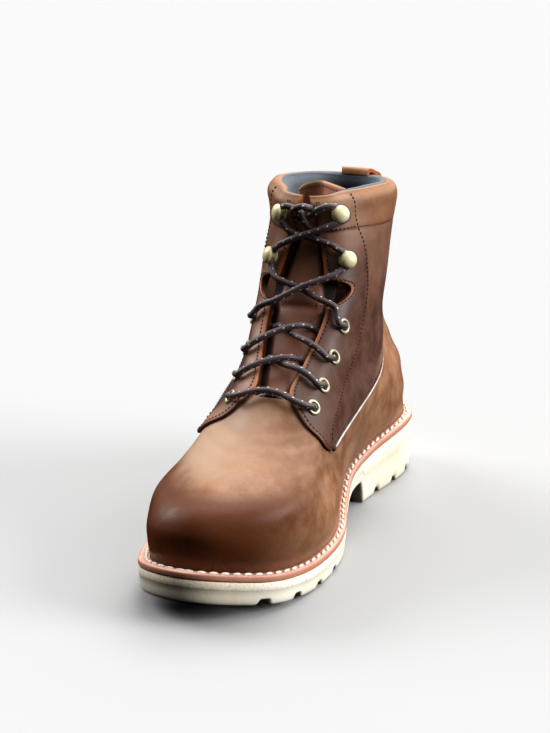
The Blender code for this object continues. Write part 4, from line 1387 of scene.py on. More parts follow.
@dataclass
class Upper:
    """The hollow wall of leather: vamp, counter and shaft in one, with its creases."""

    last: Last
    looks: Looks
    wall: float = 2.2
    top_ring: float = 13.6
    side_cells: int = 230
    front_cells: int = 24
    front_crowding: float = 0.4
    eyelets: Places = rows_of(Place, (6.65, 33.0), (7.4, 36.0), (8.48, 37.5), (9.53, 38.0))
    hole_r: float = 3.3
    burnish_shade: float = 0.95
    burnish_shade_top: float = 4.25
    burnish_shade_inner: float = 62.0
    burnish_shade_outer: float = -115.0
    burnish_shade_fade: float = 40.0
    sheen_angle: float = -34.0
    sheen_spread: float = 38.0
    sheen_low: float = 3.9
    sheen_high: float = 7.4
    ring_fade: float = 0.8
    foot_shade: float = 0.55
    foot_rings: float = 0.22
    creases: tuple[Crease, ...] = rows_of(
        Crease,
        (5.25, -20, 26, 0.004, 0.13, 0.14),
        (5.62, 12, 30, -0.006, 0.15, 0.2),
        (5.95, -8, 20, 0.003, 0.12, 0.14),
        (4.75, 40, 18, -0.01, 0.16, 0.14),
        (4.6, -44, 20, 0.012, 0.16, 0.14),
        (3.6, 62, 14, -0.015, 0.2, 0.12),
        (5.6, 26, 13, -0.05, 0.06, 0.1),
        (7.6, 168, 24, 0.002, 0.22, 0.35),
        (8.3, 190, 22, -0.003, 0.2, 0.3),
        (9.3, 172, 20, 0.004, 0.22, 0.25),
    )

    def crease_height(self, ring: Array, degrees: Array) -> Array:
        """Depth of the listed creases and the low ridges beside them.

        Args:
            ring: Rings.
            degrees: Angles in degrees.

        Returns:
            Heights in millimetres.
        """
        height = np.zeros(np.broadcast(ring, degrees).shape)
        signed = (np.asarray(degrees) + 90.0) % 360.0 - 90.0
        for crease in self.creases:
            across = (ring - crease.ring - crease.slope * (signed - crease.angle)) / crease.width
            fade = bell(signed, crease.angle, crease.spread)
            ridges = 0.45 * bell(np.abs(across), 2.0, 1.0)
            height -= crease.depth * fade * (bell(across, 0.0, 1.0) - ridges)
        return height

    def rings(self) -> Array:
        """Rings of the wall's grid, closer together in the flex notch."""
        return spaced((0.0, *self.last.throat_stops, self.top_ring), (72, 30, 16, 26))

    def eyelet_spots(self) -> Array:
        """Middles of the eyelets on both sides, in metres."""
        return np.array([self.last.skin(p.ring, s * p.angle, 0.0) for _, s in SIDES for p in self.eyelets])

    def wall_piece(self) -> None:
        """The wall, with the throat left open and holes behind the eyelets."""
        rings = self.rings()
        columns = self.side_cells + self.front_cells
        throat = float(np.searchsorted(rings, self.last.throat_ring - 1e-6)) / (len(rings) - 1)
        spots = self.eyelet_spots()

        def place(across: Array, along: Array) -> Draped:
            """Lay columns from facing round the back to facing, then over the vamp.

            Args:
                across: Shares across the grid.
                along: Shares along it.

            Returns:
                The grid in place.
            """
            ring = rings[nearest(along, rings)]
            column = np.rint(across * columns)
            on_vamp = ring < self.last.throat_ring
            edge = np.where(on_vamp, self.last.throat_angle, self.last.front_angle(ring))
            even = np.clip(column / self.side_cells, 0.0, 1.0)
            share = even + self.front_crowding * ((1 - np.cos(math.pi * even)) / 2 - even)
            front = -1 + 2 * (column - self.side_cells) / self.front_cells
            round_back = edge + (360 - 2 * edge) * share
            degrees = np.where(column <= self.side_cells, round_back, 360 + edge * front)
            height = self.crease_height(ring, degrees)
            signed = (degrees + 180.0) % 360.0 - 180.0
            # The toe's front low down is burnished darker and darkened further with painted shade, where it
            # faces away from the light.
            inner = smooth_step((self.burnish_shade_inner - signed) / self.burnish_shade_fade)
            outer = smooth_step((signed - self.burnish_shade_outer) / self.burnish_shade_fade)
            below = smooth_step((self.burnish_shade_top - ring) / self.ring_fade)
            burnish_and_shade = self.burnish_shade * (inner * outer) * below
            # The wall's edges at the facings are painted dark as shadow inside the throat and the flex
            # notch.
            facing = ~on_vamp & ((column == 0) | (column == self.side_cells))
            shade = np.clip(-height / 1.2, 0.0, 0.5) + self.foot_shade * bell(ring, 0.0, self.foot_rings)
            # Painted sheen: a pale patch high on the vamp's outer side, where the light glances off it.
            above = ease(ring, self.sheen_low, self.ring_fade)
            painted_sheen = bell(signed, self.sheen_angle, self.sheen_spread) * above
            paling_and_painted_light = np.maximum(np.clip(height / 0.4, 0.0, 0.4), painted_sheen * smooth_step(self.sheen_high - ring))
            values = {"burnish_and_shade": burnish_and_shade, "cut_edge_and_shade": facing * 1.0, "shade": shade, "paling_and_painted_light": paling_and_painted_light}
            return Draped(*self.last.run(ring, degrees, height), values)

        def drop(centres: Array, shares: Array) -> Array:
            """Cells in the open throat, and behind the eyelets.

            Args:
                centres: Middles of the cells.
                shares: Their places in the grid.

            Returns:
                True for a cell that goes.
            """
            open_throat = (shares[:, 1] > throat) & (shares[:, 0] > self.side_cells / columns)
            near = np.linalg.norm(centres[:, None] - spots, axis=-1).min(axis=1)
            return open_throat | (near < self.hole_r * MM)

        made = drape(
            "upper_wall", columns, len(rings) - 1, place, (700.0, 260.0), self.wall, weld=True, drop=drop
        )
        dress(made, self.looks.vamp, "oiled_leather", "upper")

    def build(self) -> None:
        """Build the wall."""
        self.wall_piece()


@dataclass
class Quarters:
    """Side panels with their lace facings, the piping along their rear edge, and the seams."""

    last: Last
    looks: Looks
    upper: Upper
    gap: float = 0.65
    thick: float = 1.7
    low_ring: float = 4.35
    high_ring: float = 12.2
    columns: int = 110
    piping_r: float = 0.62
    piping_from_edge: float = 1.4
    seam_front: float = 12.25
    seam_back: float = 11.8
    seam_from: float = 40.0
    seam_run: float = 90.0
    hole_clear: float = 0.6
    vamp_row: float = 2.2
    facing_row: float = 2.6
    rear_row: float = 2.4
    upper_row: float = 3.4
    stay_top: float = 12.22
    row_sink: float = 0.15
    row_lift: float = 0.1
    roll_depth: float = 0.55
    roll_width: float = 0.9
    creased: float = 0.6
    raw_width: float = 1.7
    raw_on_vamp: float = 0.45
    stay_paling: Patch = Patch(0.42, 8.8, 2.4)
    rear_sheen: Patch = Patch(0.7, 5.5, 1.5)
    rear_sheen_at: float = 9.0
    top_paling: Patch = Patch(0.5, 11.1, 0.8)
    outer_light: float = 0.95
    outer_light_width: float = 16.0
    stitch: Stitching = Stitching(2.5, 1.9, 0.46)
    tip: Place = Place(4.42, 62.5)
    tip_half: float = 0.14
    tack: Stitching = Stitching(4.4, 5.0, 1.5, 0.0, 10)
    eyestay: Places = rows_of(
        Place, (4.75, 59), (5.6, 54.5), (6.1, 56.5), (6.7, 59.5), (7.6, 61.5), (8.5, 64.5), (9.4, 64.5),
        (10.25, 62.5), (10.85, 58.5), (11.7, 52), (12.35, 46), (13.3, 47.5), (14, 49.5),
    )

    @property
    def top(self) -> float:
        """Height of the panel's face above the last."""
        return self.gap + self.thick

    def collar_seam(self, degrees: Any) -> Array:
        """Ring of the seam under the collar, lower towards the back."""
        back = smooth_step((np.abs(degrees) - self.seam_from) / self.seam_run)
        return self.seam_front + (self.seam_back - self.seam_front) * back

    def panel_ring(self, ring: Array, degrees: Array) -> Array:
        """Rings of the panel, lowered at its top to end along the collar's seam."""
        share = (ring - self.low_ring) / (self.high_ring - self.low_ring)
        return ring + share ** 3 * (self.collar_seam(degrees) - self.seam_front)

    def rings(self) -> Array:
        """Rings of the panel's grid, closer together at its lower tip and in the notch."""
        return spaced((self.low_ring, 5.0, *self.last.throat_stops, self.high_ring), (22, 44, 34, 18, 18))

    def panel(self, name: str, sign: float) -> None:
        """One panel, with rolled edges and sunk stitch lines.

        Args:
            name: Side of the boot.
            sign: +1 for the inner side.
        """
        rings = self.rings()
        spots = self.upper.eyelet_spots()

        def place(across: Array, along: Array) -> Draped:
            """Lay the panel from its front edge to its rear one.

            Args:
                across: Shares across the grid.
                along: Shares along it.

            Returns:
                The grid in place.
            """
            row = rings[nearest(along, rings)]
            edge = self.last.front_angle(row)
            degrees = edge + (self.last.rear_angle(row) - edge) * across
            ring = self.panel_ring(row, degrees)
            flat = self.last.skin(ring, sign * degrees, self.top)
            reach = np.linalg.norm(np.diff(flat, axis=1), axis=-1) / MM
            front = np.concatenate([np.zeros((len(flat), 1)), np.cumsum(reach, axis=1)], axis=1)
            rear = front[:, -1:] - front
            near = np.minimum(front, rear)
            roll = -self.roll_depth * bell(near, 0.0, self.roll_width)
            sunk = -0.28 * bell(rear, self.rear_row, 0.8)
            in_throat = row >= self.last.throat_ring
            row_at = np.where(in_throat, self.facing_row, self.vamp_row)
            sunk = sunk - 0.25 * bell(front, row_at, 0.7)
            crease = self.creased * self.upper.crease_height(ring, sign * degrees)
            height = self.top + roll + sunk + crease
            raw = edge_band(front, self.raw_width) * np.where(in_throat, 1.0, self.raw_on_vamp)
            # Dark along the front edge below the throat: the edge's own dark cut, with painted shade under
            # its roll.
            cut_edge_and_shade = 0.75 * edge_band(front, 0.9) * ~in_throat
            shade = 0.25 * bell(front, row_at, 1.0) + 0.3 * bell(rear, 2.0, 1.5)
            stay = row_curve(self.eyestay, ring)
            # Paler behind the eyestay seam and along the panel's top; a painted sheen beside the rear
            # piping; painted light on the outer side's facing.
            paling_and_painted_light = np.maximum(self.stay_paling.over(ring) * ease(degrees, stay, 3.0), self.top_paling.over(ring))
            paling_and_painted_light = np.maximum(paling_and_painted_light, self.rear_sheen.over(ring) * bell(rear, self.rear_sheen_at, 7.0))
            paling_and_painted_light = np.maximum(paling_and_painted_light, self.outer_light * edge_band(front, self.outer_light_width) * (sign < 0))
            values = {"raw": raw, "cut_edge_and_shade": cut_edge_and_shade, "shade": shade, "paling_and_painted_light": paling_and_painted_light}
            return Draped(*self.last.run(ring, sign * degrees, height), values)

        def drop(centres: Array, _shares: Array) -> Array:
            """Cells under the eyelets' holes."""
            near = np.linalg.norm(centres[:, None] - spots, axis=-1).min(axis=1)
            return near < (self.upper.hole_r + self.hole_clear) * MM

        made = drape(
            f"side_panel_{name}", self.columns, len(rings) - 1, place, (130.0, 170.0), self.thick, drop=drop
        )
        dress(made, self.looks.quarter, "quarter_leather", f"quarter_{name}")

    def rear_path(self, sign: float, beyond: float, height: float) -> Run:
        """Path beside the panel's rear edge, so far beyond it, with outward directions.

        Args:
            sign: +1 for the inner side.
            beyond: Distance from the edge.
            height: Height above the last.

        Returns:
            Points and directions.
        """
        rings = np.linspace(self.low_ring, self.high_ring, 160)
        degrees = self.last.rear_angle(rings)
        rings = self.panel_ring(rings, degrees)
        path, out = self.last.run(rings, sign * degrees, height)
        away = sign * unit(np.cross(out, np.gradient(path, axis=0)))
        return path - away * beyond * MM, out

    def piping(self, name: str, sign: float) -> None:
        """Pale cord sewn in along the panel's rear edge.

        Args:
            name: Name of the side.
            sign: +1 for the inner side.
        """
        path, _ = self.rear_path(sign, self.piping_from_edge, self.piping_r + self.gap)
        made = tube(f"piping_cord_{name}", resample(path, 0.8 * MM), self.piping_r, 10)
        dress(made, self.looks.piping, "piping_cord", f"piping_{name}")

    def shifted(self, rings: Array, degrees: Array, by: float) -> Array:
        """Angles moved round the boot by a distance in millimetres."""
        two_degrees = self.last.skin(rings, degrees + 1.0) - self.last.skin(rings, degrees - 1.0)
        return degrees + by * MM * 2 / np.linalg.norm(two_degrees, axis=-1)

    def seam_runs(self, sign: float) -> list[Run]:
        """Every dark seam of one side.

        Args:
            sign: +1 for the inner side.

        Returns:
            Paths with outward directions.
        """
        last = self.last
        runs = []
        vamp = np.linspace(self.low_ring + 0.15, last.throat_ring, 60)
        edge = self.shifted(vamp, last.front_angle(vamp), self.vamp_row)
        runs.append(last.run(vamp, sign * edge, self.top - self.row_sink))
        facing = np.concatenate([
            np.linspace(last.throat_ring, last.notch_low, 40),
            np.linspace(last.notch_low, last.notch_high, 60),
            np.linspace(last.notch_high, self.high_ring, 30),
        ])
        edge = self.shifted(facing, last.front_angle(facing), self.facing_row)
        runs.append(last.run(facing, sign * edge, self.top - self.row_sink))
        stay = np.linspace(self.eyestay[0].ring, self.stay_top, 120)
        degrees = row_curve(self.eyestay, stay)
        runs.append(last.run(stay, sign * degrees, self.top + self.row_lift))
        runs.append(self.rear_path(sign, -self.rear_row, self.top - self.row_sink))
        runs.append(self.rear_path(sign, self.upper_row, self.row_lift))
        return runs

    def tip_run(self, sign: float) -> Run:
        """Where the panel's lower tip is turned over and tacked down."""
        rings = self.tip.ring + np.linspace(-self.tip_half, self.tip_half, 9)
        return self.last.run(rings, np.full(len(rings), sign * self.tip.angle), self.top)

    def build(self) -> None:
        """Build both sides and their seams."""
        runs = []
        for name, sign in SIDES:
            self.panel(name, sign)
            self.piping(name, sign)
            runs += self.seam_runs(sign)
        dress(self.stitch.sew("panel_seams", runs), self.looks.seam, "quarter_leather")
        tips = [self.tip_run(sign) for _, sign in SIDES]
        dress(self.tack.sew("panel_tips", tips), self.looks.seam, "quarter_leather")


def rise(last: Last, ring: Array, degrees: Array) -> Array:
    """Directions up the boot along the last."""
    angle, step = np.radians(degrees), 0.02
    return unit(last.point(ring + step, angle) - last.point(ring - step, angle))


@dataclass
class Collar:
    """Padded band round the top of the shaft, its cloth lining, and the pull loop."""

    last: Last
    looks: Looks
    quarters: Quarters
    wall: float = 2.2
    gap: float = 0.95
    clearance: float = 0.08
    columns: int = 260
    rim: Profile = rows_of(
        ProfileRow, (0, 13.85), (20, 14), (48, 14.2), (80, 14.38), (110, 14.35), (180, 14.15),
    )
    outside: Profile = rows_of(
        ProfileRow, (0, 2), (0.25, 3.6), (0.55, 4.6), (0.82, 3.8), (1, 1.2),
    )
    inside: Profile = rows_of(
        ProfileRow, (0, 1), (0.25, 2.7), (0.55, 4.2), (0.82, 3.5), (1, 1.6),
    )
    lining_thin: float = 0.3
    swell_from: float = 30.0
    swell_run: float = 45.0
    rim_rows: float = 0.86
    rim_lift: float = 1.0
    rim_depth: float = 1.6
    tuck_depth: float = 3.2
    tuck_middle: float = 290.0
    tuck_spread: float = 38.0
    roll_out: float = -0.6
    roll_rows: float = 0.3
    roll_front: float = 0.1
    roll_back: float = 0.55
    roll_from: float = 42.0
    roll_run: float = 14.0
    wrap: float = 0.03
    wrap_angle: float = 7.0
    wrap_lead: float = 1.2
    wrap_depth: float = 2.6
    panel_end: float = 143.0
    loop_middle: float = 176.0
    loop_half_angle: float = 14.5
    loop_lean: float = 13.5
    loop_thick: float = 2.0
    loop_size: tuple[float, float] = (24.0, 40.0)
    loop: tuple[LoopRow, ...] = rows_of(
        LoopRow, (12.2, 5), (12.8, 6.8), (13.3, 6.5), (13.8, 5.1), (14.4, 2.4), (14.86, -0.2),
        (14.96, -1.9), (14.75, -3), (14.6, -3.3),
    )
    pucker: float = 0.12
    seam_steps: int = 40
    foot_seam: tuple[float, float] = (18.0, 45.0)
    tack_angles: tuple[float, ...] = (10.5, 12.5)
    tack_shares: tuple[float, float] = (0.62, 0.9)
    tack_steps: int = 20
    tack: Stitching = Stitching(1.9, 1.4, 0.34)

    def rim_ring(self, degrees: Any) -> Array:
        """Ring of the collar's rim at angles from the front."""
        return row_curve(self.rim, degrees)

    def edge_angle(self, share: Array) -> Array:
        """Angle of the facing's edge at shares of the collar's height."""
        low = self.quarters.seam_front
        return self.last.front_angle(low + (self.rim[0].value - low) * share)

    def ring_at(self, degrees: Array, share: Array) -> Array:
        """Ring at shares of the height between the collar's seam and its rim."""
        seam = self.quarters.collar_seam(from_front(degrees)) + self.clearance
        return seam + (self.rim_ring(from_front(degrees)) - seam) * share

    def padding(self, degrees: Array, share: Array) -> Array:
        """Height of the band's outside, which starts on the side panel or behind it on the upper."""
        foot = 0.5 - 1.9 * ease(from_front(degrees), self.panel_end, 8.0)
        return row_curve(self.outside, share) + bell(share, 0.0, 0.12) * foot

    def tuck(self, degrees: Array) -> Array:
        """How much further the leather goes in over the rim, on the boot's outer side."""
        return self.tuck_depth * bell(degrees, self.tuck_middle, self.tuck_spread)

    def band(self) -> None:
        """Leather outside of the collar, puffed, and turned in round both of its front ends."""

        def place(across: Array, along: Array) -> Draped:
            """Rows up the outside and over the rim; the end columns turn in round the front ends.

            Args:
                across: Shares across the grid.
                along: Shares along it.

            Returns:
                The grid in place.
            """
            share = np.minimum(along / self.rim_rows, 1.0)
            over = math.pi * np.clip((along - self.rim_rows) / (1 - self.rim_rows), 0.0, 1.0)
            near = np.minimum(across, 1 - across)
            turn = np.clip(near / self.wrap, 0.0, 1.0) * math.pi / 2
            inner = np.clip((near - self.wrap) / (0.5 - self.wrap), 0.0, 1.0)
            start = self.edge_angle(share) - self.wrap_lead
            half = start + self.wrap_angle * (1 - np.cos(turn)) + (180 - start - self.wrap_angle) * inner
            degrees = np.where(across < 0.5, half, 360 - half)
            height = self.padding(degrees, share)
            waves = np.sin(degrees * 1.35) * np.sin(degrees * 0.37 + 1.0)
            height = height + self.pucker * waves * np.sin(math.pi * share)
            inwards = self.outside[-1].value + self.rim_depth + self.tuck(degrees)
            height = height - inwards * (1 - np.cos(over)) / 2
            height = (height + self.wrap_depth) * np.sin(turn) - self.wrap_depth
            ring = self.ring_at(degrees, share - 0.02)
            lift = self.rim_lift * MM * np.sin(over)[..., None] * rise(self.last, ring, degrees)
            # Painted light: paler towards the top, where the light from above falls; also paler where the
            # band turns in at its ends.
            top = ease(share, 0.6, 0.4)
            values = {
                "raw": 0.8 * edge_band(turn, 0.7),
                "cut_edge_and_shade": np.zeros(ring.shape),
                "shade": 0.45 * bell(share, 0.0, 0.05),
                "paling_and_painted_light": 0.4 * np.maximum(top, bell(turn, 1.3, 0.5) * (near < 2 * self.wrap)),
            }
            points = self.last.skin(ring, degrees, height) + lift
            return Draped(points, self.last.normal(ring, degrees), values)

        made = drape("collar_band", self.columns, 36, place, (330.0, 36.0), thick=0.9)
        dress(made, self.looks.collar, "collar_leather", "collar")

    def lining(self) -> None:
        """Cloth that rolls over the rim and down the padded inside."""

        def place(across: Array, along: Array) -> Draped:
            """A half round over the rim, then rows down the inside.

            Args:
                across: Shares across the grid.
                along: Shares along it.

            Returns:
                The grid in place.
            """
            turn = math.pi * np.clip(along / self.roll_rows, 0.0, 1.0)
            share = 1 - np.clip((along - self.roll_rows) / (1 - self.roll_rows), 0.0, 1.0)
            edge = self.edge_angle(share) + 2.0
            degrees = edge + (360 - 2 * edge) * across
            ring = self.ring_at(degrees, share)
            swell = ease(from_front(degrees), self.swell_from, self.swell_run)
            depth = row_curve(self.inside, share)
            deep = self.wall + self.gap + depth * (self.lining_thin + (1 - self.lining_thin) * swell)
            roll_out = self.roll_out - self.tuck(degrees)
            radius = np.maximum(deep + roll_out, 0.4) / 2
            height = roll_out - radius + radius * np.cos(turn)
            behind = ease(from_front(degrees), self.roll_from, self.roll_run)
            lift = (self.roll_front + (self.roll_back - self.roll_front) * behind) * radius * np.sin(turn)
            up, out = rise(self.last, ring, degrees), self.last.normal(ring, degrees)
            points = self.last.skin(ring, degrees, height) + up * lift[..., None] * MM
            return Draped(points, np.cos(turn)[..., None] * out + np.sin(turn)[..., None] * up)

        made = drape("collar_lining_cloth", self.columns, 40, place, (300.0, 40.0), thick=0.7)
        dress(made, self.looks.lining, "lining_cloth", "collar_lining")

    def pull_loop(self) -> None:
        """Strap folded over the back of the collar, its end tucked in behind the leather."""

        def place(across: Array, along: Array) -> Draped:
            """Carry the strap's middle line across its width.

            Args:
                across: Shares across the grid.
                along: Shares along it.

            Returns:
                The grid in place.
            """
            run = np.arange(len(self.loop))
            at = along * (len(self.loop) - 1)
            ring = smooth_curve(run, [r.ring for r in self.loop], at)
            height = smooth_curve(run, [r.height for r in self.loop], at)
            degrees = self.loop_middle + self.loop_half_angle * (2 * across - 1)
            lean = self.last.normal(np.full(degrees.shape, self.loop_lean), degrees)
            points = self.last.point(ring, np.radians(degrees)) + lean * height[..., None]
            side = unit(np.cross(np.gradient(points, axis=1), np.gradient(points, axis=0)))
            points = points + side * self.loop_thick / 2
            end = np.minimum(across, 1 - across) * self.loop_size[0]
            shade = np.zeros(across.shape)
            paling_and_painted_light = 0.6 * bell(along, 0.65, 0.2)
            values = {"raw": edge_band(end, 0.7), "cut_edge_and_shade": shade, "shade": shade, "paling_and_painted_light": paling_and_painted_light}
            return Draped(self.last.in_metres(points), side, values)

        made = drape("pull_strap", 24, 60, place, self.loop_size, thick=self.loop_thick)
        dress(made, self.looks.loop, "loop_leather", "pull_loop")

    def run_at(self, sign: float, degrees: Array, share: Array) -> Run:
        """Path on the band's outside, with outward directions."""
        height = self.padding(degrees, share) + 0.1
        return self.last.run(self.ring_at(degrees, share), sign * degrees, height)

    def seams(self) -> None:
        """The eyestay's seam over the collar, the seam at its foot, and the tacks at its front ends."""
        runs = []
        tacks = []
        for _, sign in SIDES:
            share = np.linspace(-0.02, 0.97, self.seam_steps)
            stay = row_curve(self.quarters.eyestay, 12.3 + 1.7 * share)
            runs.append(self.run_at(sign, stay, share))
            foot = np.linspace(*self.foot_seam, self.seam_steps)
            runs.append(self.run_at(sign, foot, np.full(self.seam_steps, -0.005)))
            share = np.linspace(*self.tack_shares, self.tack_steps)
            tacks += [self.run_at(sign, np.full(len(share), angle), share) for angle in self.tack_angles]
        dress(self.quarters.stitch.sew("collar_seams", runs), self.looks.seam, "collar_leather")
        dress(self.tack.sew("collar_tacks", tacks), self.looks.seam, "collar_leather")

    def build(self) -> None:
        """Build the collar's pieces."""
        self.band()
        self.lining()
        self.pull_loop()
        self.seams()


@dataclass
class Tongue:
    """Padded leather tongue behind the facings, its top slid towards the inner side."""

    last: Last
    looks: Looks
    thick: float = 3.0
    low_ring: float = 6.3
    top_ring: float = 14.8
    arch_inner: float = 0.6
    arch_outer: float = 0.65
    ease_steps: int = 90
    ease_from: float = 11.2
    ease_run: float = 1.6
    columns: int = 60
    arch_from: float = 11.0
    edge_sink: float = 2.2
    seam_ring: float = 10.3
    seam_width: float = 0.12
    length: float = 110.0
    half_width: float = 25.0
    overlap: float = 6.0
    overlap_top: float = 12.4
    overlap_sink: float = 1.6
    face_sink: float = 0.4
    crown: float = 0.3
    roll_depth: float = 0.6
    roll_width: float = 1.2
    raw_from: float = 12.0
    pale_from: float = 13.2
    edge: Places = rows_of(
        Place, (6.3, 20), (7, 23), (8, 26), (10, 27), (11, 32), (13, 37), (14.8, 38),
    )
    middle: Places = rows_of(
        Place, (6.3, 0), (10, 0), (12, 4), (13.5, 12), (14.8, 17),
    )
    depths: Profile = rows_of(
        ProfileRow, (6, 3.2), (8, 3.6), (11, 3.6), (12.5, 5.8), (15, 6.8),
    )
    stitch: Stitching = Stitching(2.3, 1.7, 0.34)

    def spot(self, row: Array, share: Array) -> tuple[Array, Array, Array]:
        """Ring, angle and depth of the tongue's face at a row and a share of its half width.

        Args:
            row: Rows of the tongue.
            share: Shares of its half width.

        Returns:
            Rings, angles and depths.
        """
        lift = smooth_step((row - self.arch_from) / (self.top_ring - self.arch_from))
        ring = row - np.where(share > 0, self.arch_inner, self.arch_outer) * lift * share ** 2
        degrees = row_curve(self.middle, row) + share * row_curve(self.edge, row)
        depth = row_curve(self.depths, ring) + self.edge_sink * lift * share ** 2
        return ring, degrees, depth

    def eased(self, points: Array, row: Array) -> Array:
        """Points with the corners of the boot's front rounded off in the upper rows.

        Args:
            points: Points in metres.
            row: Their rows.

        Returns:
            The eased points.
        """
        soft = points.copy()
        for _ in range(self.ease_steps):
            soft[:, 1:-1] = (soft[:, :-2] + 2 * soft[:, 1:-1] + soft[:, 2:]) / 4
        return points + (soft - points) * ease(row, self.ease_from, self.ease_run)[..., None]

    def seam_line(self, share: Array) -> Array:
        """Ring of the curved seam under the padded part."""
        return self.seam_ring - 0.35 * share ** 2

    def piece(self) -> None:
        """The tongue, crowned, with a padded upper part above its seam."""

        def place(across: Array, along: Array) -> Draped:
            """Lay the tongue from its lower edge to its arched top.

            Args:
                across: Shares across the grid.
                along: Shares along it.

            Returns:
                The grid in place.
            """
            share = 2 * across - 1
            row = self.low_ring + (self.top_ring - self.low_ring) * along
            ring, degrees, depth = self.spot(row, share)
            above = ring - self.seam_line(share)
            pad = smooth_step(above / 0.2) - 0.4 * bell(above, 0.0, self.seam_width)
            rim = np.minimum((1 - along) * self.length, (1 - np.abs(share)) * self.half_width)
            facing = row_curve(self.last.front_edge, ring)
            hidden = smooth_step((np.abs(degrees) - facing + self.overlap) / self.overlap)
            hidden = hidden * smooth_step((self.overlap_top - ring) / 0.5)
            height = pad - self.face_sink - self.overlap_sink * hidden - depth
            height = height + self.crown * (1 - share ** 2)
            height = height - self.roll_depth * bell(rim, 0.0, self.roll_width)
            # Painted shadow: dark where the tongue runs under the facings, and darker at its seam and below
            # it, under the padded part.
            values = {
                "raw": edge_band(rim, 1.4) * (ring > self.raw_from),
                "cut_edge_and_shade": hidden,
                "shade": 0.5 * bell(above, 0.0, self.seam_width) + 0.35 * smooth_step(-above / 0.3),
                "paling_and_painted_light": 0.1 * ease(ring, self.pale_from, 1.0),
            }
            points = self.eased(self.last.skin(ring, degrees, height), row)
            return Draped(points, self.last.normal(ring, degrees), values)

        thick = self.thick - self.face_sink
        made = drape("tongue_leather", self.columns, 150, place, (50.0, 150.0), thick=thick)
        dress(made, self.looks.tongue, "quarter_leather", "tongue")

    def seam(self) -> None:
        """Stitches along the curved seam and inside the tongue's top edge."""
        runs = []
        share = np.linspace(-1.0, 1.0, self.columns + 1)[None]
        for level in (self.seam_ring + 0.1, self.top_ring - 0.28):
            row = np.full(share.shape, level)
            if level < self.arch_from:
                row = row + self.seam_line(share) - self.seam_ring
            ring, degrees, depth = self.spot(row, share)
            height = 0.7 + self.crown * (1 - share ** 2) - depth
            path = self.eased(self.last.skin(ring, degrees, height), row)
            runs.append((path[0, 3:-3], self.last.normal(ring, degrees)[0, 3:-3]))
        dress(self.stitch.sew("tongue_seams", runs), self.looks.seam, "quarter_leather")

    def build(self) -> None:
        """Build the tongue."""
        self.piece()
        self.seam()


@dataclass
class Hardware:
    """Brass eyelets in the facings and domed lace hooks above them."""

    last: Last
    looks: Looks
    upper: Upper
    quarters: Quarters
    collar: Collar
    steps: int = 32
    hooks: dict[float, Places] = field(default_factory=lambda: {
        1.0: (Place(11.43, 29.5), Place(12.82, 25.0)),
        -1.0: (Place(11.4, 21.0), Place(12.82, 15.0)),
    })
    hook_lean: dict[float, float] = field(default_factory=lambda: {1.0: 0.0, -1.0: 16.0})
    eyelet: Profile = rows_of(
        ProfileRow, (2.6, -5), (3.2, -5), (3.2, -0.1), (4.3, -0.1), (4.45, 0.2), (4.3, 0.6), (3.7, 0.9),
        (3.1, 0.9), (2.75, 0.6), (2.6, 0.1),
    )
    hook: Profile = rows_of(
        ProfileRow, (0, 0), (3.9, 0), (4, 0.35), (3.7, 0.7), (2.3, 0.95), (2, 1.6), (2, 2.9),
        (2.4, 3.3), (4.1, 3.5), (4.7, 3.8), (4.9, 4.4), (4.75, 5.2), (4.2, 6), (3.2, 6.7), (1.8, 7.2),
        (0, 7.4),
    )

    def turned(self, name: str, profile: Profile, foot: Array, out: Array) -> Piece:
        """Spin a profile of radius and height and stand it on the boot.

        Args:
            name: Name of the piece.
            profile: Radius and height of each point.
            foot: Where it stands, in metres.
            out: Direction that it stands along.

        Returns:
            The turned piece.
        """
        shape = bmesh.new()
        corners = [shape.verts.new((row.at * MM, 0.0, row.value * MM)) for row in profile]
        chain = list(zip(corners, corners[1:]))
        if profile[0].at > 0:
            chain.append((corners[-1], corners[0]))
        edges = [shape.edges.new(pair) for pair in chain]
        bmesh.ops.spin(
            shape, geom=corners + edges, cent=(0, 0, 0), axis=(0, 0, 1), angle=2 * math.pi,
            steps=self.steps, use_merge=True, use_duplicate=False,
        )
        bmesh.ops.remove_doubles(shape, verts=shape.verts, dist=SLIVER)
        bmesh.ops.recalc_face_normals(shape, faces=shape.faces)
        turn = Vector(out).to_track_quat("Z", "Y").to_matrix().to_4x4()
        bmesh.ops.transform(shape, matrix=Matrix.Translation(foot) @ turn, verts=shape.verts)
        return to_object(name, shape, 50.0)

    def build(self) -> None:
        """Set every eyelet and hook where its solid is."""
        for name, sign in SIDES:
            for number, place in enumerate(self.upper.eyelets, 1):
                height = self.quarters.top + self.last.gap
                foot, out = self.last.run(place.ring, sign * place.angle, height)
                made = self.turned(f"brass_eyelet_{name}_{number}", self.eyelet, foot, out)
                dress(made, self.looks.eyelet, "brass", f"eyelet_{name}_{number}")
            for number, place in enumerate(self.hooks[sign], 1):
                seam = self.quarters.seam_front
                share = (place.ring - seam) / (float(self.collar.rim_ring(place.angle)) - seam)
                padded = float(row_curve(self.collar.outside, max(share, 0.0)))
                under = self.quarters.top if share < 0 else padded
                foot = self.last.skin(place.ring, sign * place.angle, under + self.quarters.gap)
                out = self.last.normal(place.ring, sign * (place.angle + self.hook_lean[sign]))
                made = self.turned(f"brass_hook_{name}_{number}", self.hook, foot, out)
                dress(made, self.looks.brass, "brass", f"hook_{name}_{number}")


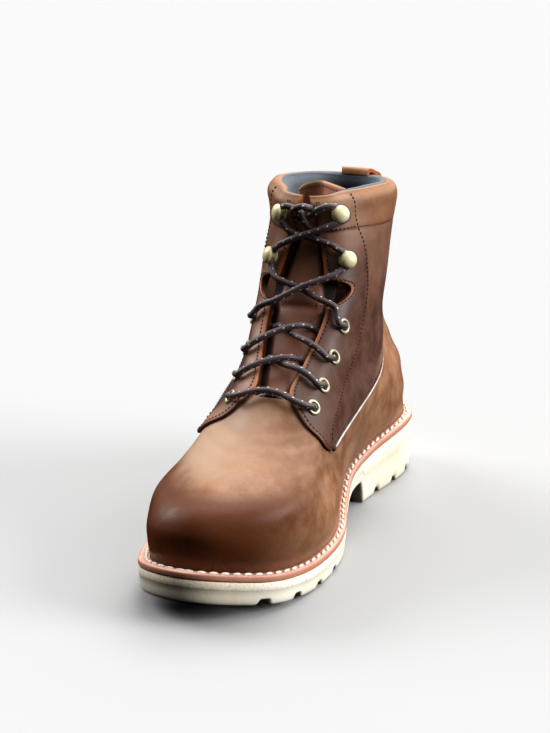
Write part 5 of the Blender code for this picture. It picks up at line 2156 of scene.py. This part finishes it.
@dataclass
class Lace:
    """One braided lace through the eyelets and round the hooks, tied at the top."""

    last: Last
    looks: Looks
    radius: float = 1.82
    sides: int = 14
    step: float = 0.9
    bar: Strand = rows_of(
        LacePoint, (7.3, 0, 3.8), (7.2, 8, 4.2), (6.9, 18, 5.4), (6.72, 27, 5.2), (6.66, 32, 4.2),
        (6.65, 32.4, 0.5), (6.68, 31, -4.2), (6.95, 20, -4.6), (7.22, 8, -1.6), (7.35, 0, -0.6),
        (7.4, -8, -1.6), (7.4, -22, -4.6), (7.4, -34, -4.2), (7.4, -35.3, 0.5),
    )
    over: Strand = rows_of(
        LacePoint, (0, -35, 4), (0.03, -29, 5.2), (0.45, -19, 5.4), (0.95, -6, 4.2), (1.2, 4, 2.4),
        (1.28, 9, -0.6), (1.2, 18, -4.4), (1.1, 33, -4.4),
    )
    under: Strand = rows_of(
        LacePoint, (0, 35, 4), (0.03, 29, 5.3), (0.4, 20, 5.6), (0.68, 12, 5), (0.92, 4, 2),
        (1.12, -4, 0), (1.22, -9, -1.2), (1.18, -18, -4.4), (1.1, -33, -4.4),
    )
    crossings: tuple[float, ...] = (7.42, 8.45)
    hook_over: Strand = rows_of(
        LacePoint, (9.55, -36.5, 4.4), (9.6, -31, 5.4), (9.85, -26, 5.5), (10.22, -12.5, 5.6),
        (10.5, -4, 5.2), (10.7, 2.5, 5.1), (10.87, 11.3, 5.4), (11.05, 21, 5.5), (11.19, 26.5, 5.2),
        (11.25, 30, 5), (11.32, 33.7, 4.9), (11.43, 35.1, 4.9), (11.54, 33.7, 4.9), (11.61, 30, 5),
        (11.66, 26, 5.5),
    )
    hook_under: Strand = rows_of(
        LacePoint, (9.55, 36.5, 4.4), (9.6, 31, 5.4), (10.12, 24.7, 5.5), (10.34, 16, 5.2),
        (10.58, 6.5, 2), (10.73, -0.5, 1), (10.78, -8.3, 4), (10.88, -16, 5.4), (11.07, -20, 5.2),
        (11.22, -21.5, 5), (11.3, -25, 4.9), (11.4, -26.2, 4.9), (11.5, -25, 4.9), (11.58, -21.5, 5),
        (11.71, -17.4, 5.6),
    )
    top_over: Strand = rows_of(
        LacePoint, (11.9, -10, 5.9), (12.05, -3.7, 5.7), (12.23, 5.7, 5.6), (12.39, 15.7, 6.5),
        (12.48, 21, 7), (12.53, 25, 6.9), (12.64, 30.4, 6.8), (12.82, 32, 6.8), (13, 30.4, 6.8),
        (13.11, 25.5, 6.9),
    )
    top_under: Strand = rows_of(
        LacePoint, (11.87, 17.7, 5.6), (11.98, 10.5, 5), (12.05, 4, 2.2), (12.1, -2, 1.4),
        (12.14, -6, 3.2), (12.2, -10, 5.4), (12.37, -13.8, 6.8), (12.53, -15.5, 6.9), (12.65, -20, 6.8),
        (12.82, -21.3, 6.8), (12.99, -20, 6.8), (13.1, -15.5, 6.9),
    )
    eyelet_spots: Places = rows_of(Place, (8.48, 36.8), (9.53, 37.3))
    right_end: Strand = rows_of(
        LacePoint, (13.11, 25.5, 6.9), (13.4, 22, 7.8), (13.52, 18.5, 8.2), (13.38, 13.5, 8.2),
        (12.98, 8.5, 7.2), (12.82, 4.5, 4.6), (12.72, 1, 2.2), (12.68, -3, 2), (12.7, -6, 4.2),
        (12.85, -6.3, 6.8), (13.15, -4.6, 9.2), (13.5, -1, 10.4), (13.62, 2.5, 10.2), (13.42, 5.4, 7.8),
        (13.16, 5, 3), (12.95, 4.5, -0.5), (12.8, 4, -3),
    )
    left_end: Strand = rows_of(
        LacePoint, (13.1, -15.5, 6.9), (13.38, -12, 7.8), (13.3, -7.5, 7), (13.08, -3.2, 5.2),
        (12.9, -0.5, 5.8), (12.67, 0.5, 6.3), (12.5, 1.2, 4.4), (12.36, 2, 1), (12.27, 2.6, -2.2),
        (12.22, 6.5, -2.6),
    )

    def path(self, points: Sequence[LacePoint]) -> Array:
        """Smooth line through a lace's points, at an even step.

        Args:
            points: Points of the lace.

        Returns:
            Points in metres.
        """
        table = np.array(points)
        spots = self.last.skin(*table.T)
        run = run_along(spots)
        fine = np.linspace(0.0, run[-1], 24 * len(points))
        ring, angle, height = (smooth_curve(run, column, fine) for column in table.T)
        return resample(self.last.skin(ring, angle, height), self.step * MM)

    def half(self, sign: float) -> list[LacePoint]:
        """Points of one half of the lace, from the bar's middle to its top hook.

        Args:
            sign: +1 for the inner side.

        Returns:
            The points.
        """
        points = [LacePoint(p.ring, sign * p.angle, p.height) for p in self.bar]
        side = -sign
        for base, spot in zip(self.crossings, self.eyelet_spots):
            strand = self.over if side < 0 else self.under
            points += [LacePoint(base + p.ring, p.angle, p.height) for p in strand]
            side = -side
            points.append(LacePoint(spot.ring, side * spot.angle, 0.5))
        points += self.hook_over if side < 0 else self.hook_under
        points += self.top_under if side < 0 else self.top_over
        return points

    def build(self) -> None:
        """Run the lace and tie its ends."""
        halves = [self.path(self.half(sign)) for _, sign in SIDES]
        whole = np.concatenate([halves[0][::-1], halves[1][1:]])
        made = tube("lace_run", resample(whole, self.step * MM), self.radius, self.sides)
        nodes = ("lace_bar", "lace_cross_1", "lace_cross_2", "lace_cross_hooks", "lace_cross_top")
        dress(made, self.looks.lace, "lace_cord", *nodes)
        for name, points in (("right", self.right_end), ("left", self.left_end)):
            path = self.path(points)
            made = tube(f"lace_end_{name}", path, self.radius, self.sides)
            dress(made, self.looks.lace, "lace_cord", *(("lace_knot",) if name == "right" else ()))


@dataclass
class Studio:
    """Pale floor, soft light and the photo's camera."""

    last: Last
    photo_width: int = 550
    photo_height: int = 733
    azimuth: float = 21.4
    elevation: float = 16.7
    distance: float = 1215.0
    focal_pixels: float = 2172.0
    roll: float = 0.3
    target: tuple[float, float, float] = (-7.5, 0.0, 94.1)
    floor_half: float = 8.0
    lamps: tuple[Lamp, ...] = (
        Lamp("key_light", (0.06, 0.5, 0.865), 3.0, 50.0),
        Lamp("back_softbox", (-0.1, 0.75, 0.65), 0.8, 30.0),
        Lamp("right_softbox", (0.89, 0.2, 0.41), 3.7, 36.0),
        Lamp("left_softbox", (-0.8, 0.15, 0.58), 2.5, 36.0),
    )
    bright_from: tuple[float, float, float] = (0.15, 0.35, 0.925)
    bright: float = 1.2
    dark: float = 0.0
    backdrop: float = 0.93

    def floor(self) -> None:
        """A pale seamless floor under the sole, which throws no light back up."""
        shape = bmesh.new()
        bmesh.ops.create_grid(shape, x_segments=2, y_segments=2, size=self.floor_half)
        made = to_object("studio_floor", shape)
        paint = Surface("studio_paint")
        colour = paint.mix(paint.noise(900.0, 2.0), srgb("A0A0A0"), srgb("9F9F9F"))
        paint.set(Base_Color=colour, Roughness=0.9, IOR=1.2)
        made.data.materials.append(paint.made)
        made.visible_diffuse = False
        made.visible_glossy = False

    def lights(self) -> None:
        """Broad studio lights, far enough off to light the whole floor evenly."""
        for light in self.lamps:
            lamp = bpy.data.lights.new(light.name, "SUN")
            lamp.energy = light.strength
            lamp.angle = math.radians(light.degrees)
            made = bpy.data.objects.new(light.name, lamp)
            made.location = light.way
            made.rotation_mode = "QUATERNION"
            made.rotation_quaternion = Vector(light.way).to_track_quat("Z", "Y")
            bpy.context.scene.collection.objects.link(made)

    def camera(self) -> None:
        """Set the camera where the photo was taken from."""
        turn, lift = math.radians(self.azimuth), math.radians(self.elevation)
        back = Vector((math.sin(turn) * math.cos(lift), -math.cos(turn) * math.cos(lift), math.sin(lift)))
        right = Vector((math.cos(turn), math.sin(turn), 0.0))
        up = back.cross(right)
        roll = math.radians(self.roll)
        side = right * math.cos(roll) + up * math.sin(roll)
        head = up * math.cos(roll) - right * math.sin(roll)
        lens = bpy.data.cameras.new("photo_camera")
        lens.sensor_width = 36.0
        lens.lens = self.focal_pixels * lens.sensor_width / max(self.photo_width, self.photo_height)
        lens.clip_start, lens.clip_end = 0.01, 50.0
        made = bpy.data.objects.new("photo_camera", lens)
        target = Vector(self.last.in_metres(np.array(self.target)))
        place = Matrix((side, head, back)).transposed().to_4x4()
        made.matrix_world = Matrix.Translation(target + back * self.distance * MM) @ place
        bpy.context.scene.collection.objects.link(made)
        bpy.context.scene.camera = made

    def world(self) -> None:
        """Surroundings that are bright above and behind the boot and dark in front of it."""
        made = bpy.data.worlds.new("studio_world")
        made.use_nodes = True
        tree = made.node_tree
        way = add_node(tree, "ShaderNodeTexCoord").outputs["Generated"]
        aim = add_node(tree, "ShaderNodeVectorMath", {0: way, 1: self.bright_from}, operation="DOT_PRODUCT")
        span = {"Value": aim.outputs["Value"], "From Min": 0.15, "From Max": 0.95}
        span.update({"To Min": self.dark, "To Max": self.bright})
        glow = add_node(tree, "ShaderNodeMapRange", span, interpolation_type="SMOOTHSTEP").outputs["Result"]
        seen = add_node(tree, "ShaderNodeLightPath").outputs["Is Camera Ray"]
        parts = {0: seen, 2: glow, 3: self.backdrop}
        strength = add_node(tree, "ShaderNodeMix", parts, data_type="FLOAT").outputs[0]
        ground = tree.nodes["Background"]
        ground.inputs["Color"].default_value = srgb("FFFFFF")
        tree.links.new(strength, ground.inputs["Strength"])
        bpy.context.scene.world = made
        bpy.context.scene.view_settings.view_transform = "Standard"

    def build(self) -> None:
        """Set the stage."""
        self.floor()
        self.lights()
        self.world()
        self.camera()


def main() -> None:
    """Build the boot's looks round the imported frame."""
    logging.basicConfig(level=logging.INFO, format="%(name)s: %(message)s")
    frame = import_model()
    LOG.info("%d solids in the frame", len(frame["nodes"]))
    last = Last.in_frame()
    looks = Looks.mixed()
    Studio(last).build()
    Lace(last, looks).build()
    upper = Upper(last, looks)
    quarters = Quarters(last, looks, upper)
    collar = Collar(last, looks, quarters)
    for assembly in (
        SoleUnit(last, looks), upper, quarters, collar, Tongue(last, looks),
        Hardware(last, looks, upper, quarters, collar),
    ):
        assembly.build()


if __name__ == "__main__":
    main()
